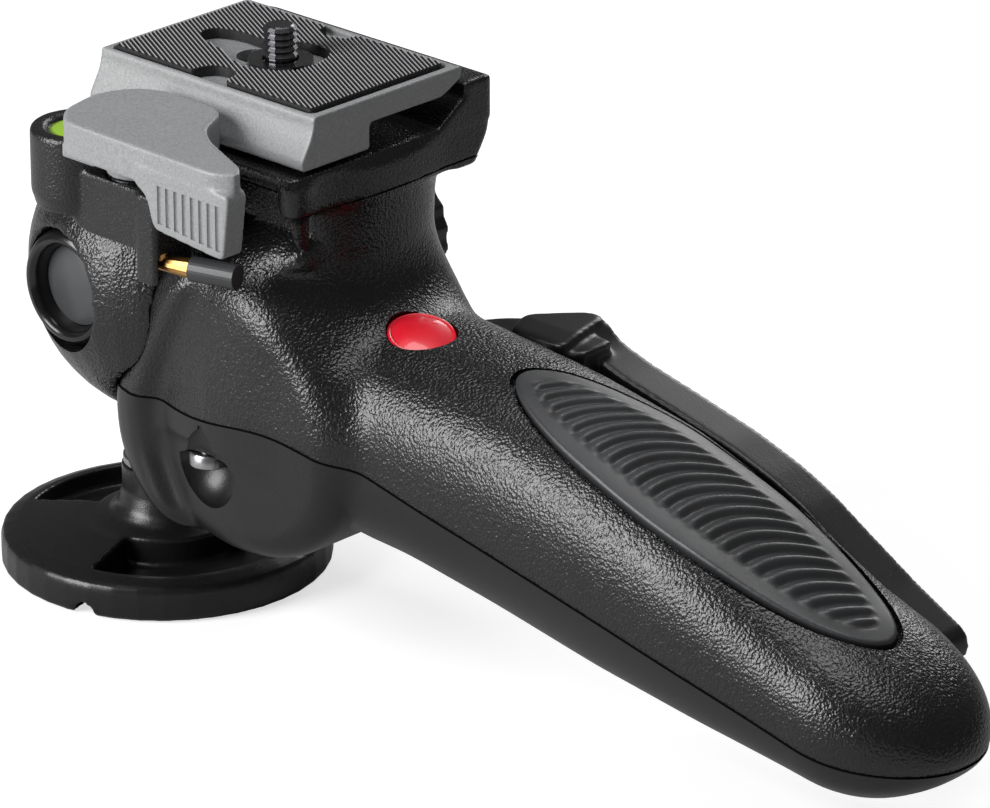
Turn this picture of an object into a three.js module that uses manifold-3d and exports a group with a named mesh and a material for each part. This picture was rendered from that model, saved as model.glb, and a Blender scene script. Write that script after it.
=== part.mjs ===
// Grip ball head for a tripod: a steel ball on a round base, a cast body with a slanted
// pistol grip and squeeze trigger, and a platform with a quick-release camera plate.
// Millimetres. X runs along the grip, Y towards the trigger, Z up.
// The origin is the centre of the base disc's underside.

import * as THREE from 'three';
import { mergeVertices } from 'three/addons/utils/BufferGeometryUtils.js';
import Module from 'manifold-3d';

const wasm = await Module();
wasm.setup();

// Clearances and mesh fineness

const gap = 0.3;
const fit = 0.1;
const overrun = 5;
const weld = 0.0001;
const sides = 28;
const fineSides = 40;
const wide = 200;
const smallSides = 14;

// Base disc

const baseRadius = 30.5;
const baseEdgeHeight = 5.8;
const baseEdgeRound = 1.4;
const baseDishHeight = 8.2;
const hubRadius = 8.1;
const hubHeight = 19;
const hubFlare = 6;
const pocketInner = 13.5;
const pocketOuter = 26;
const pocketDepth = 2.6;
const pocketSpan = 100;
const pocketTurns = [-25, 155];
const notchRadius = 2.3;
const notchTurn = -74;
const bushRadius = 8;
const bushBore = 4.75;
const bushHeight = 12;
const bushFlangeRadius = 10.5;
const bushFlangeHeight = 1.6;

// Ball and stem

const ballRadius = 17;
const ballHeight = 56;
const stemRadius = 4.7;
const stemFootRadius = 6.2;
const stemCollar = 2.4;
const spigotRadius = 3.4;
const spigotLength = 11;

// Ball housing behind the body

const housingRadius = 29.4;
const housingShiftX = 8;
const housingShiftZ = 5;
const seatThickness = 2.4;
const mouthAngle = 34;
const sweepAngle = 31;
const slotClearance = 0.7;
const capX = 1;
const capRise = 4.5;
const capZ = ballHeight + capRise;
const capRadius = 9.6;
const capThickness = 1.6;
const capChamfer = 0.7;
const capFace = 24.4;
const capRecessRadius = 10.6;
const capRecessDepth = 1;

// Main casting: barrel, neck and grip

const barrelX = 38;
const barrelDrop = 11.6;
const barrelZ = ballHeight - barrelDrop;
const barrelRadius = 27.6;
const barrelHalfWidth = 24.4;
const neckX = 37.5;
const neckHalfLength = 20.5;
const neckHalfWidth = 22.5;
const neckPower = 2.4;
const neckFootDrop = 10;
const neckHeight = 40.7;
const neckFoot = ballHeight - neckFootDrop;
const neckTop = neckFoot + neckHeight;
const gripStart = 50;
const gripEnd = 190;
const gripPower = 2.5;
const gripHalfHeight = 20;
const gripHalfWidth = 20;
const gripRootDrop = 10.5;
const gripTopCentre = ballHeight - gripRootDrop;
const gripDrop = 25.5;
const wall = 3.2;
const hollowDepth = 5.6;
const hollowStart = 92;
const postRadius = 5.4;
const seamStartDrop = 11.4;
const seamHeight = ballHeight - seamStartDrop;
const seamDrop = 24.5;
const seamStart = 16;

// Brake: cup, rod and spring along the ball's centre line

const cupAngle = 56;
const cupBack = 21;
const cupHole = 3;
const boreRadius = 13.2;
const boreEnd = 47.5;
const flangeRadius = 12.2;
const flangeThickness = 3;
const rodRadius = 3.6;
const rodNeckRadius = 1.6;
const rodNutRadius = 3.6;
const rodNutThickness = 3;
const rodNutGap = 0.4;
const springOuter = 8.4;
const springInner = 4.4;
const washerThickness = 2;
const rodTravel = 1;

// Trigger, its arm and the pin it turns on

const pinX = 62;
const pinY = -7;
const pinRadius = 1.8;
const pinHalfLength = 5;
const armThickness = 5.6;
const armWidth = 7.2;
const armBayMinX = 57.4;
const armBayMaxX = 84;
const shoulderX = 72;
const shoulderLength = 16;
const shoulderThickness = 9;
const leverInnerY = 20.4;
const leverOuterY = 28.8;
const leverHeight = 16;
const triggerBayY = 12.6;
const triggerBayRise = 10;
const triggerBayTop = ballHeight + triggerBayRise;
const triggerSwing = 2.4;

// Friction dial on the trigger side

const dialX = 31.5;
const dialRise = 10;
const dialZ = ballHeight + dialRise;
const dialRadius = 13;
const dialInnerY = 22.6;
const dialThickness = 6.2;
const dialRibs = 20;
const dialRibDepth = 0.6;
const spindleRadius = 3;
const spindleLength = 8;

// Palm pad and badge

const padX = 130.2;
const padY = 3.4;
const padHalfLength = 43.6;
const padHalfWidth = 13.4;
const padThickness = 2.4;
const padTilt = 22;
const padSlope = 14.4;
const padProud = 0.5;
const badgeX = 68.2;
const badgeY = -3;
const badgeRise = 7.4;
const badgeZ = ballHeight + badgeRise;
const badgeTilt = 7;
const badgeRadius = 6.1;
const badgeThickness = 1.8;

// Platform with its jaw, lever bracket and level

const platformMinX = 1.6;
const platformMaxX = 57.9;
const platformNearY = -23.4;
const platformFarY = 26;
const platformThickness = 7.4;
const platformBottom = neckTop + gap;
const platformFloor = platformBottom + platformThickness;
const platformRound = 5;
const jawHeight = 6.8;
const jawTop = platformFloor + jawHeight;
const jawInnerY = 18.9;
const jawFootY = 12;
const hollowMinX = 39;
const hollowMaxX = 53.5;
const hollowBackY = -15;
const hollowLip = 2.2;
const hollowHeight = 11.8;
const bracketMinX = 13.6;
const bracketMaxX = 36.6;
const bracketNearY = -35;
const bracketRise = 2.2;
const bracketHeight = 11.2;
const bracketTop = platformBottom + bracketRise;
const bracketBottom = bracketTop - bracketHeight;
const ribWidth = 5.2;
const ribProud = 1.2;
const ribDrop = 5.2;
const ribBottom = bracketBottom - ribDrop;
const levelX = 10.8;
const levelY = -29;
const levelDrop = 0.4;
const levelHeight = 13.6;
const levelTop = platformFloor - levelDrop;
const levelBottom = levelTop - levelHeight;
const levelRadius = 8.2;
const vialRadius = 5.7;
const vialHeight = 6;

// Quick plate

const plateX = 31.3;
const plateLength = 52.8;
const plateHalfWidth = 18.1;
const plateThickness = 9.5;
const plateSeatGap = 0.8;
const plateStepRise = 4.8;
const plateDeepBottom = platformFloor + plateSeatGap;
const plateTop = plateDeepBottom + plateThickness;
const plateShallowBottom = plateDeepBottom + plateStepRise;
const plateFlare = 2.8;
const plateStepY = -4.6;
const plateChamfer = 2.4;
const plateRim = 1.7;
const padRecess = 1.4;
const topPadProud = 0.2;
const slotHalfLength = 6;
const slotRadius = 3.6;
const clipRadius = 5.8;
const clipThickness = 0.9;
const screwRadius = 3.1;
const screwStandout = 5.9;
const screwTop = plateTop + screwStandout;
const screwHeadRadius = 6.8;
const screwHeadThickness = 2;
const coinSlotWidth = 1.6;
const coinSlotDepth = 1;

// Lock lever, its pivot and the safety catch

const pivotX = 25.4;
const pivotY = -29;
const leverTopDrop = 2.7;
const leverTop = plateTop - leverTopDrop;
const leverThickness = 6.2;
const bossRadius = 5.6;
const bossDrop = 6.3;
const tabNearY = -44.6;
const tabThickness = 4.6;
const tabMinX = 43.6;
const tabMaxX = 64;
const tabHeight = 14.8;
const tabBottom = leverTop - tabHeight;
const tabGrooves = 8;
const tabTaper = 2;
const grooveDepth = 0.7;
const pivotRadius = 2.4;
const pivotHeadRadius = 4;
const pivotHeadHeight = 1.8;
const leverSpringOuter = 5.4;
const catchX = 35;
const catchY = -33;
const catchDrop = 1.7;
const catchZ = bracketBottom - catchDrop;
const catchPinRadius = 1.2;
const catchPinHeight = 9;
const catchConeRadius = 1.9;
const catchConeLength = 6;
const catchSleeveRadius = 2.2;
const catchSleeveLength = 9;
const catchTurn = 16;

// Screws that hold the cover, housing and platform

const coverScrewX = 34.6;
const coverScrewY = 19.2;
const coverScrewHead = 3.5;
const coverScrewShank = 1.7;
const coverScrewDrop = 7.6;
const coverScrewTop = barrelZ - coverScrewDrop;
const coverScrewHeadHeight = 2.8;
const coverScrewReach = 14;
const teardropHalfX = 5.2;
const teardropHalfY = 5;
const teardropHalfZ = 7.8;
const endScrewX = 150;
const endScrewDrop = 23;
const endScrewTop = gripTopCentre - endScrewDrop;
const endScrewReach = 12;
const platformScrewXs = [22, 50];
const platformScrewY = 9;
const platformScrewRadius = 1.9;
const platformScrewHead = 3.5;
const platformScrewHeadHeight = 2;
const platformScrewReach = 12;

// Materials

function material(color, roughness, metalness) {
  return new THREE.MeshStandardMaterial({ color, roughness, metalness });
}

const castBlack = material(0x151515, 0.55, 0.1);
const satinBlack = material(0x1b1b1c, 0.42, 0.05);
const castGrey = material(0x77777a, 0.5, 0.55);
const rubberBlack = material(0x141414, 0.8, 0);
const rubberGrey = material(0x3c3d3f, 0.65, 0);
const steel = material(0xa8abad, 0.22, 1);
const darkSteel = material(0x54565a, 0.3, 1);
const brass = material(0xc9a24a, 0.28, 1);
const nylon = material(0xd8d4c8, 0.6, 0);
const redEnamel = material(0xd01820, 0.2, 0);
const levelGreen = material(0xa9c83a, 0.15, 0);
const plasticGrey = material(0x45474a, 0.55, 0);

// Solids

const radians = THREE.MathUtils.degToRad;

function signedVolume(position, index) {
  let total = 0;
  const a = new THREE.Vector3();
  const b = new THREE.Vector3();
  const c = new THREE.Vector3();
  for (let i = 0; i < index.length; i += 3) {
    a.fromArray(position, 3 * index[i]);
    b.fromArray(position, 3 * index[i + 1]);
    c.fromArray(position, 3 * index[i + 2]);
    total += a.dot(b.cross(c));
  }
  return total;
}

function solid(geometry) {
  const bare = geometry.clone();
  bare.deleteAttribute('normal');
  bare.deleteAttribute('uv');
  const welded = mergeVertices(bare, weld);
  const position = welded.attributes.position.array;
  const corners = Array.from(welded.index.array);
  const kept = [];
  for (let i = 0; i < corners.length; i += 3) {
    const [a, b, c] = corners.slice(i, i + 3);
    if (a !== b && b !== c && c !== a) kept.push(a, b, c);
  }
  if (signedVolume(position, kept) < 0) kept.reverse();
  const mesh = new wasm.Mesh({
    numProp: 3,
    vertProperties: new Float32Array(position),
    triVerts: new Uint32Array(kept),
  });
  return new wasm.Manifold(mesh);
}

function piece(name, shape, finish) {
  const result = shape.getMesh();
  const geometry = new THREE.BufferGeometry();
  geometry.setAttribute('position', new THREE.BufferAttribute(result.vertProperties, 3));
  geometry.setIndex(new THREE.BufferAttribute(result.triVerts, 1));
  geometry.computeVertexNormals();
  const mesh = new THREE.Mesh(geometry, finish);
  mesh.name = name;
  return mesh;
}

// A turned shape about Z from [radius, height] points.
function turned(points, count = sides) {
  const profile = points.map(([r, z]) => new THREE.Vector2(r, z));
  return new THREE.LatheGeometry(profile, count).rotateX(Math.PI / 2);
}

function turnedAboutX(points, count = sides) {
  return turned(points, count).rotateY(Math.PI / 2);
}

function turnedAboutY(points, count = sides) {
  return turned(points, count).rotateX(-Math.PI / 2);
}

function rodPoints(radius, low, high) {
  return [[0, low], [radius, low], [radius, high], [0, high]];
}

function ringPoints(inner, outer, low, high) {
  return [[inner, low], [outer, low], [outer, high], [inner, high], [inner, low]];
}

function rod(radius, low, high, count = smallSides) {
  return turned(rodPoints(radius, low, high), count);
}

function rodAboutX(radius, low, high, count = smallSides) {
  return turnedAboutX(rodPoints(radius, low, high), count);
}

function rodAboutY(radius, low, high, count = smallSides) {
  return turnedAboutY(rodPoints(radius, low, high), count);
}

function block(minX, maxX, minY, maxY, minZ, maxZ) {
  const geometry = new THREE.BoxGeometry(maxX - minX, maxY - minY, maxZ - minZ);
  return geometry.translate((minX + maxX) / 2, (minY + maxY) / 2, (minZ + maxZ) / 2);
}

// An outline with rounded corners from [x, y] points.
function outline(points, round = 0) {
  const shape = new THREE.Shape();
  const count = points.length;
  for (let i = 0; i < count; i += 1) {
    const before = new THREE.Vector2(...points[(i + count - 1) % count]);
    const corner = new THREE.Vector2(...points[i]);
    const after = new THREE.Vector2(...points[(i + 1) % count]);
    const radius = Array.isArray(round) ? round[i] : round;
    const reach = Math.min(radius, corner.distanceTo(before) / 2, corner.distanceTo(after) / 2);
    const enter = corner.clone().add(before.sub(corner).setLength(reach));
    const leave = corner.clone().add(after.sub(corner).setLength(reach));
    if (i === 0) shape.moveTo(enter.x, enter.y);
    else shape.lineTo(enter.x, enter.y);
    if (reach > 0) shape.quadraticCurveTo(corner.x, corner.y, leave.x, leave.y);
  }
  shape.closePath();
  return shape;
}

function rectangle(minX, maxX, minY, maxY) {
  return [[minX, minY], [maxX, minY], [maxX, maxY], [minX, maxY]];
}

function prism(shape, low, high, curveSegments = 4) {
  const settings = { depth: high - low, bevelEnabled: false, curveSegments };
  return new THREE.ExtrudeGeometry(shape, settings).translate(0, 0, low);
}

// A prism whose outline lies in the XZ plane, from y = low to y = high.
function sidePrism(shape, low, high, curveSegments = 4) {
  return prism(shape, -high, -low, curveSegments).rotateX(Math.PI / 2);
}

// A prism whose outline lies in the YZ plane, from x = low to x = high.
function endPrism(shape, low, high, curveSegments = 4) {
  return prism(shape, low, high, curveSegments).rotateX(Math.PI / 2).rotateZ(Math.PI / 2);
}

function sphere(radius, x, z, wide = sides, tall = 18) {
  return new THREE.SphereGeometry(radius, wide, tall).rotateX(Math.PI / 2).translate(x, 0, z);
}

// Outlines of unit size: the distance from the middle at an angle.
function superellipse(power) {
  return (angle) => {
    const across = Math.abs(Math.cos(angle)) ** power;
    const up = Math.abs(Math.sin(angle)) ** power;
    return (across + up) ** (-1 / power);
  };
}

function between(table, value) {
  const last = table.length - 1;
  const next = Math.max(table.findIndex(([at]) => at >= value), 1);
  const [fromAt, from] = table[Math.min(next, last) - 1];
  const [toAt, to] = table[Math.min(next, last)];
  return THREE.MathUtils.mapLinear(value, fromAt, toAt, from, to);
}

// A skin through sections: stations hold [along, across centre, up centre, half across, half up].
function skin(stations, section, count, place) {
  const last = stations.length - 1;
  const geometry = new THREE.CylinderGeometry(1, 1, last, count, last);
  const position = geometry.attributes.position;
  for (let i = 0; i < position.count; i += 1) {
    const x = position.getX(i);
    const z = position.getZ(i);
    const station = stations[Math.round(position.getY(i) + last / 2)];
    const centre = Math.hypot(x, z) < weld;
    const angle = Math.atan2(z, x);
    const size = centre ? 0 : section(angle);
    const across = station[1] + station[3] * size * Math.cos(angle);
    const up = station[2] + station[4] * size * Math.sin(angle);
    position.setXYZ(i, ...place(station[0], across, up));
  }
  return geometry;
}

// Grip sections: shares of the length, drop, half height and half width.
const gripShares = [
  [0.0, 0.0, 0.94, 1.02],
  [0.071, 0.004, 0.96, 1.04],
  [0.179, 0.039, 0.96, 1.02],
  [0.329, 0.137, 1.0, 1.0],
  [0.493, 0.294, 1.0, 1.0],
  [0.657, 0.51, 0.89, 0.975],
  [0.814, 0.765, 0.685, 0.92],
  [0.864, 0.824, 0.62, 0.88],
  [0.914, 0.875, 0.56, 0.81],
  [0.95, 0.92, 0.45, 0.67],
  [0.979, 0.96, 0.3, 0.46],
  [1.0, 1.0, 0.12, 0.2],
];

function gripSkin(shrink = 0) {
  const length = gripEnd - gripStart;
  const stations = gripShares.map(([share, drop, height, width]) => {
    const along = gripStart + share * length - Math.max(share - 0.5, 0) * 2 * shrink;
    const centre = gripTopCentre - drop * gripDrop;
    const halfWidth = Math.max(width * gripHalfWidth - shrink, wall);
    const halfHeight = Math.max(height * gripHalfHeight - shrink, wall / 2);
    return [along, 0, centre, halfWidth, halfHeight];
  });
  return skin(stations, superellipse(gripPower), sides, (along, across, up) => [along, across, up]);
}

// Neck sections: shares of the height, half length and half width.
const neckShares = [
  [0.0, 0.9, 0.94],
  [0.42, 1.06, 1.02],
  [0.56, 1.0, 1.0],
  [0.72, 0.97, 0.98],
  [0.87, 0.98, 0.99],
  [0.95, 1.0, 1.01],
  [1.0, 1.02, 1.02],
];

function neckSkin(shrink = 0) {
  const stations = neckShares.map(([share, length, width]) => [
    neckFoot + share * (neckTop - neckFoot),
    neckX,
    0,
    length * neckHalfLength - shrink,
    width * neckHalfWidth - shrink,
  ]);
  return skin(stations, superellipse(neckPower), sides, (along, across, up) => [across, up, along]);
}

// The barrel lies across the body: its radius shares by angle, squarer at the foot.
const barrelShares = [
  [-180, 0.98],
  [-160, 1.04],
  [-144, 1.09],
  [-124, 1.0],
  [-106, 0.89],
  [-75, 0.88],
  [-48, 1.0],
  [-25, 1.08],
  [0, 1.06],
  [45, 1.0],
  [90, 1.0],
  [130, 1.02],
  [157, 0.99],
  [180, 0.98],
];

// Cheek edges: shares of the half width and of the radius.
const cheekShares = [
  [-1.0, 0.78],
  [-0.985, 0.87],
  [-0.94, 0.94],
  [-0.85, 0.985],
  [-0.6, 1.0],
  [0.6, 1.0],
  [0.85, 0.985],
  [0.94, 0.94],
  [0.985, 0.87],
  [1.0, 0.78],
];

function barrelSkin(grow = 0) {
  const stations = cheekShares.map(([width, radius]) => [
    width * (barrelHalfWidth + grow),
    barrelX,
    barrelZ,
    radius * barrelRadius + grow,
    radius * barrelRadius + grow,
  ]);
  const section = (angle) => between(barrelShares, THREE.MathUtils.radToDeg(angle));
  return skin(stations, section, fineSides, (along, across, up) => [across, along, up]);
}

function bodyOuter() {
  return solid(barrelSkin()).add(solid(gripSkin())).add(solid(neckSkin()));
}

// The hollow inside the grip, with a post left round the end screw.
function gripHollow() {
  const inner = solid(gripSkin(hollowDepth));
  const span = solid(block(hollowStart, gripEnd, -wide, triggerBayY - wall, -overrun, wide));
  const post = solid(rod(postRadius, -overrun, wide).translate(endScrewX, 0, 0));
  return inner.intersect(span).subtract(post);
}

// The room that the stem sweeps under the ball, as a cone of a given half angle.
function coneBelowBall(angle) {
  const reach = ballHeight + overrun;
  const mouth = reach * Math.tan(radians(angle));
  return solid(turned([[0, 0], [mouth, -reach], [0, -reach]]).translate(0, 0, ballHeight));
}

// The cone and the slot up the back in which the stem lies when the grip points up.
function stemRoom() {
  const reach = ballHeight + overrun;
  const half = stemRadius + slotClearance;
  const slot = solid(block(-reach, 0, -half, half, ballHeight - reach, ballHeight));
  const round = solid(rodAboutX(half, -reach, 0).translate(0, 0, ballHeight));
  return coneBelowBall(mouthAngle).add(slot).add(round);
}

// The seam between casting and lower cover: shares of the length and of the drop.
const seamShares = [
  [0.0, 0.0],
  [0.1, 0.02],
  [0.19, -0.08],
  [0.27, -0.02],
  [0.4, 0.2],
  [0.6, 0.48],
  [0.8, 0.8],
  [0.9, 0.98],
  [1.0, 1.02],
];

function belowSeam(raise) {
  const start = -barrelRadius;
  const length = gripEnd - seamStart;
  const end = gripEnd + overrun;
  const points = seamShares.map(([along, drop]) => [
    seamStart + along * length,
    seamHeight - drop * seamDrop + raise,
  ]);
  const low = points[points.length - 1][1];
  points.push([end, low], [end, -overrun], [start, -overrun], [start, seamHeight + raise]);
  const width = barrelHalfWidth + overrun;
  return solid(sidePrism(outline(points), -width, width, 1));
}

// Base pieces

function baseDisc() {
  const flareTop = baseDishHeight + hubFlare;
  const profile = [
    [0, 0],
    [baseRadius - baseEdgeRound / 2, 0],
    [baseRadius, baseEdgeRound / 2],
    [baseRadius, baseEdgeHeight - baseEdgeRound],
    [baseRadius - baseEdgeRound * 0.3, baseEdgeHeight - baseEdgeRound * 0.3],
    [baseRadius - baseEdgeRound, baseEdgeHeight],
    [pocketOuter + baseEdgeRound, baseEdgeHeight + baseEdgeRound * 0.4],
    [pocketInner, baseDishHeight],
    [hubRadius + hubFlare * 0.42, baseDishHeight + hubFlare * 0.18],
    [hubRadius + hubFlare * 0.16, baseDishHeight + hubFlare * 0.48],
    [hubRadius, flareTop],
    [hubRadius, hubHeight],
    [0, hubHeight],
  ];
  let disc = solid(turned(profile, fineSides));
  for (const turn of pocketTurns) {
    const shape = new THREE.Shape();
    const from = radians(turn - pocketSpan / 2);
    const to = radians(turn + pocketSpan / 2);
    shape.absarc(0, 0, pocketOuter, from, to, false);
    shape.absarc(0, 0, pocketInner, to, from, true);
    disc = disc.subtract(solid(prism(shape, baseEdgeHeight - pocketDepth, hubHeight, 10)));
  }
  const notch = rodAboutX(notchRadius, baseRadius - overrun, baseRadius + overrun);
  disc = disc.subtract(solid(notch.rotateZ(radians(notchTurn))));
  const bushRoom = turned([
    [0, -overrun],
    [bushFlangeRadius + fit, -overrun],
    [bushFlangeRadius + fit, bushFlangeHeight + fit],
    [bushRadius + fit, bushFlangeHeight + fit],
    [bushRadius + fit, bushHeight + gap],
    [0, bushHeight + gap],
  ]);
  const footRoom = rod(stemFootRadius + fit, 0, hubHeight + overrun, sides);
  return disc.subtract(solid(bushRoom)).subtract(solid(footRoom));
}

function tripodBush() {
  return solid(turned([
    [bushBore, 0],
    [bushFlangeRadius, 0],
    [bushFlangeRadius, bushFlangeHeight],
    [bushRadius, bushFlangeHeight],
    [bushRadius, bushHeight],
    [bushBore, bushHeight],
    [bushBore, 0],
  ]));
}

const stemShoulder = ballHeight - Math.sqrt(ballRadius ** 2 - stemRadius ** 2);

function baseStem() {
  const foot = bushHeight + gap;
  const collar = hubHeight + gap;
  return solid(turned([
    [0, foot],
    [stemFootRadius, foot],
    [stemFootRadius, collar],
    [hubRadius - gap, collar],
    [hubRadius - gap, collar + stemCollar / 2],
    [stemRadius, collar + stemCollar],
    [stemRadius, stemShoulder - gap],
    [spigotRadius, stemShoulder - gap],
    [spigotRadius, stemShoulder + spigotLength],
    [0, stemShoulder + spigotLength],
  ]));
}

function steelBall() {
  const ball = solid(sphere(ballRadius, 0, ballHeight));
  const flat = solid(rod(ballRadius, 0, stemShoulder));
  const socket = solid(rod(spigotRadius + fit, 0, stemShoulder + spigotLength + gap));
  return ball.subtract(flat).subtract(socket);
}

// Ball housing pieces

const seatInner = ballRadius + gap;
const seatOuter = seatInner + seatThickness;

const capBack = capFace - capRecessDepth - capThickness;

function capRoom(side) {
  const points = [
    [0, capBack - gap],
    [capRadius + gap, capBack - gap],
    [capRadius + gap, capFace - capRecessDepth],
    [capRecessRadius, capFace - capRecessDepth],
    [capRecessRadius + capRecessDepth, capFace + overrun],
    [0, capFace + overrun],
  ];
  const room = turnedAboutY(points);
  return solid(side < 0 ? room.rotateZ(Math.PI) : room).translate([capX, 0, capZ]);
}

function rearHousing() {
  const centreZ = ballHeight + housingShiftZ;
  let housing = solid(sphere(housingRadius, housingShiftX, centreZ, fineSides, smallSides * 2));
  housing = housing.subtract(solid(sphere(seatOuter + fit, 0, ballHeight)));
  housing = housing.subtract(solid(rodAboutX(boreRadius, 0, wide, sides).translate(0, 0, ballHeight)));
  housing = housing.subtract(solid(block(-wide, wide, -wide, wide, bracketBottom, wide)));
  housing = housing.subtract(solid(block(boreEnd / 2, wide, -wide, wide, -overrun, wide)));
  housing = housing.subtract(solid(barrelSkin(gap))).subtract(solid(neckSkin(-gap)));
  housing = housing.subtract(catchRoom()).subtract(stemRoom()).subtract(dialRoom());
  return housing.subtract(capRoom(-1)).subtract(capRoom(1));
}

function catchRoom() {
  const reach = catchSleeveRadius + gap * 2;
  const along = catchConeLength + catchSleeveLength + overrun;
  const minY = catchY - reach;
  return solid(block(catchX - reach - ribWidth, catchX + along, minY, minY + along,
    ribBottom - gap, catchZ + catchPinHeight));
}

function sideCap(side) {
  const cap = turnedAboutY([
    [0, capBack],
    [capRadius, capBack],
    [capRadius, capFace - capRecessDepth - capChamfer],
    [capRadius - capChamfer, capFace - capRecessDepth],
    [0, capFace - capRecessDepth],
  ]);
  return solid(side < 0 ? cap.rotateZ(Math.PI) : cap).translate([capX, 0, capZ]);
}

function ballSeat() {
  const outer = solid(sphere(seatOuter, 0, ballHeight));
  const inner = solid(sphere(seatInner, 0, ballHeight));
  const front = solid(block(-seatThickness, wide, -wide, wide, -overrun, wide));
  return outer.subtract(inner).subtract(front).subtract(stemRoom());
}

// Brake pieces on the ball's centre line

function onAxis(geometry) {
  return solid(geometry.translate(0, 0, ballHeight));
}

function brakeCup() {
  const from = Math.asin(cupHole / seatInner);
  const to = radians(cupAngle);
  const steps = 5;
  const points = [];
  for (let i = 0; i <= steps; i += 1) {
    const angle = from + (to - from) * (i / steps);
    points.push([seatInner * Math.sin(angle), seatInner * Math.cos(angle)]);
  }
  const rim = seatInner * Math.sin(to);
  const outer = boreRadius - gap;
  const waist = Math.min(rim, outer);
  points.push([waist, cupBack * 0.62], [waist, cupBack], [cupHole, cupBack], [...points[0]]);
  return onAxis(turnedAboutX(points));
}

const flangeStart = cupBack + gap;
const flangeEnd = flangeStart + flangeThickness;
const washerStart = boreEnd - gap - washerThickness;
const rodNutStart = pinX + armWidth / 2 + rodNutGap;

function pullRod() {
  return onAxis(turnedAboutX([
    [0, flangeStart],
    [flangeRadius, flangeStart],
    [flangeRadius, flangeEnd],
    [rodRadius, flangeEnd],
    [rodRadius, armBayMinX - gap],
    [rodNeckRadius, armBayMinX - gap],
    [rodNeckRadius, rodNutStart],
    [rodNutRadius, rodNutStart],
    [rodNutRadius, rodNutStart + rodNutThickness],
    [0, rodNutStart + rodNutThickness],
  ]));
}

function brakeSpring() {
  const end = washerStart - rodTravel - fit;
  return onAxis(turnedAboutX(ringPoints(springInner, springOuter, flangeEnd + fit, end)));
}

function springWasher() {
  const end = washerStart + washerThickness;
  return onAxis(turnedAboutX(ringPoints(rodRadius + gap, flangeRadius, washerStart, end)));
}

// Trigger

const armMiddle = ballHeight;

// The lever's top edge: shares of its length and of its fall.
const leverLength = 82.6;
const leverCornerX = 81.4;
const leverCornerRise = 4.3;
const leverCornerZ = ballHeight + leverCornerRise;
const leverFall = 34.7;
const leverTopShares = [
  [0.0, 0.0],
  [0.044, 0.098],
  [0.138, 0.167],
  [0.276, 0.242],
  [0.43, 0.331],
  [0.548, 0.424],
  [0.636, 0.519],
  [0.723, 0.643],
  [0.854, 0.824],
  [1.0, 1.0],
];

function triggerLever() {
  const top = leverTopShares.map(([along, fall]) => [
    leverCornerX + along * leverLength,
    leverCornerZ - fall * leverFall,
  ]);
  const bottom = top.map(([x, z], i) => [x, z - leverHeight * (1 - leverTopShares[i][0] * 0.7)]);
  const points = [...bottom, ...top.reverse()];
  const grip = solid(sidePrism(outline(points, leverHeight / 8), leverInnerY, leverOuterY, 2));
  const half = armWidth / 2;
  const arm = outline([
    [pinX - half, pinY - half],
    [pinX + half, pinY - half],
    [pinX + half, triggerBayY - half],
    [shoulderX + shoulderLength, leverInnerY - half],
    [shoulderX + shoulderLength, leverInnerY + half],
    [shoulderX, leverInnerY + half],
    [pinX - half, triggerBayY],
  ], half / 2);
  const shoulder = outline([
    [shoulderX, triggerBayY + triggerSwing],
    [leverCornerX + half, triggerBayY + triggerSwing],
    [leverCornerX + fit, leverOuterY],
    [leverCornerX - half, leverOuterY],
    [shoulderX - half / 2, leverInnerY],
  ], half / 2);
  let lever = solid(prism(arm, armMiddle - armThickness / 2, armMiddle + armThickness / 2, 2)).add(grip);
  lever = lever.add(solid(prism(shoulder, leverCornerZ - shoulderThickness, leverCornerZ, 2)));
  const hole = rod(pinRadius + fit, 0, wide).translate(pinX, pinY, 0);
  const eye = rodAboutX(rodNeckRadius + rodNutGap * 2, 0, pinX + armWidth).translate(0, 0, armMiddle);
  return lever.subtract(solid(hole)).subtract(solid(eye));
}

function triggerRoom() {
  const end = leverCornerX + leverLength + triggerSwing;
  const endTop = leverCornerZ - leverFall + leverHeight / 4;
  const bay = sidePrism(outline([
    [leverCornerX - armWidth, leverCornerZ - leverHeight - triggerSwing],
    [leverCornerX + leverLength * 0.55, leverCornerZ - leverFall * 0.6 - leverHeight - triggerSwing],
    [end, leverCornerZ - leverFall - leverHeight * 0.6],
    [end, endTop],
    [leverCornerX + leverLength * 0.55, triggerBayTop],
    [leverCornerX - armWidth, triggerBayTop],
  ]), triggerBayY, wide, 1);
  const half = armThickness / 2 + gap * 2;
  const arm = block(armBayMinX, armBayMaxX, pinY - armWidth * 0.6, wide, armMiddle - half, armMiddle + half);
  const top = leverCornerZ + gap * 2;
  const low = leverCornerZ - shoulderThickness - gap * 2;
  const mouth = block(armBayMinX, leverCornerX, triggerBayY, wide, low, top);
  return solid(bay).add(solid(arm)).add(solid(mouth));
}

function triggerPin() {
  return solid(rod(pinRadius, armMiddle - pinHalfLength, armMiddle + pinHalfLength).translate(pinX, pinY, 0));
}

// Friction dial

function frictionDial() {
  const shape = new THREE.Shape();
  const steps = dialRibs * 2;
  for (let i = 0; i < steps; i += 1) {
    const angle = (2 * Math.PI * i) / steps;
    const radius = i % 2 ? dialRadius : dialRadius - dialRibDepth;
    const x = radius * Math.cos(angle);
    const z = radius * Math.sin(angle);
    if (i === 0) shape.moveTo(x, z);
    else shape.lineTo(x, z);
  }
  shape.closePath();
  const dial = sidePrism(shape, dialInnerY, dialInnerY + dialThickness, 1).translate(dialX, 0, dialZ);
  const hole = rodAboutY(spindleRadius + fit, 0, wide).translate(dialX, 0, dialZ);
  return solid(dial).subtract(solid(hole));
}

function dialSpindle() {
  const end = dialInnerY + dialThickness;
  return solid(rodAboutY(spindleRadius, end - dialThickness - spindleLength, end).translate(dialX, 0, dialZ));
}

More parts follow.
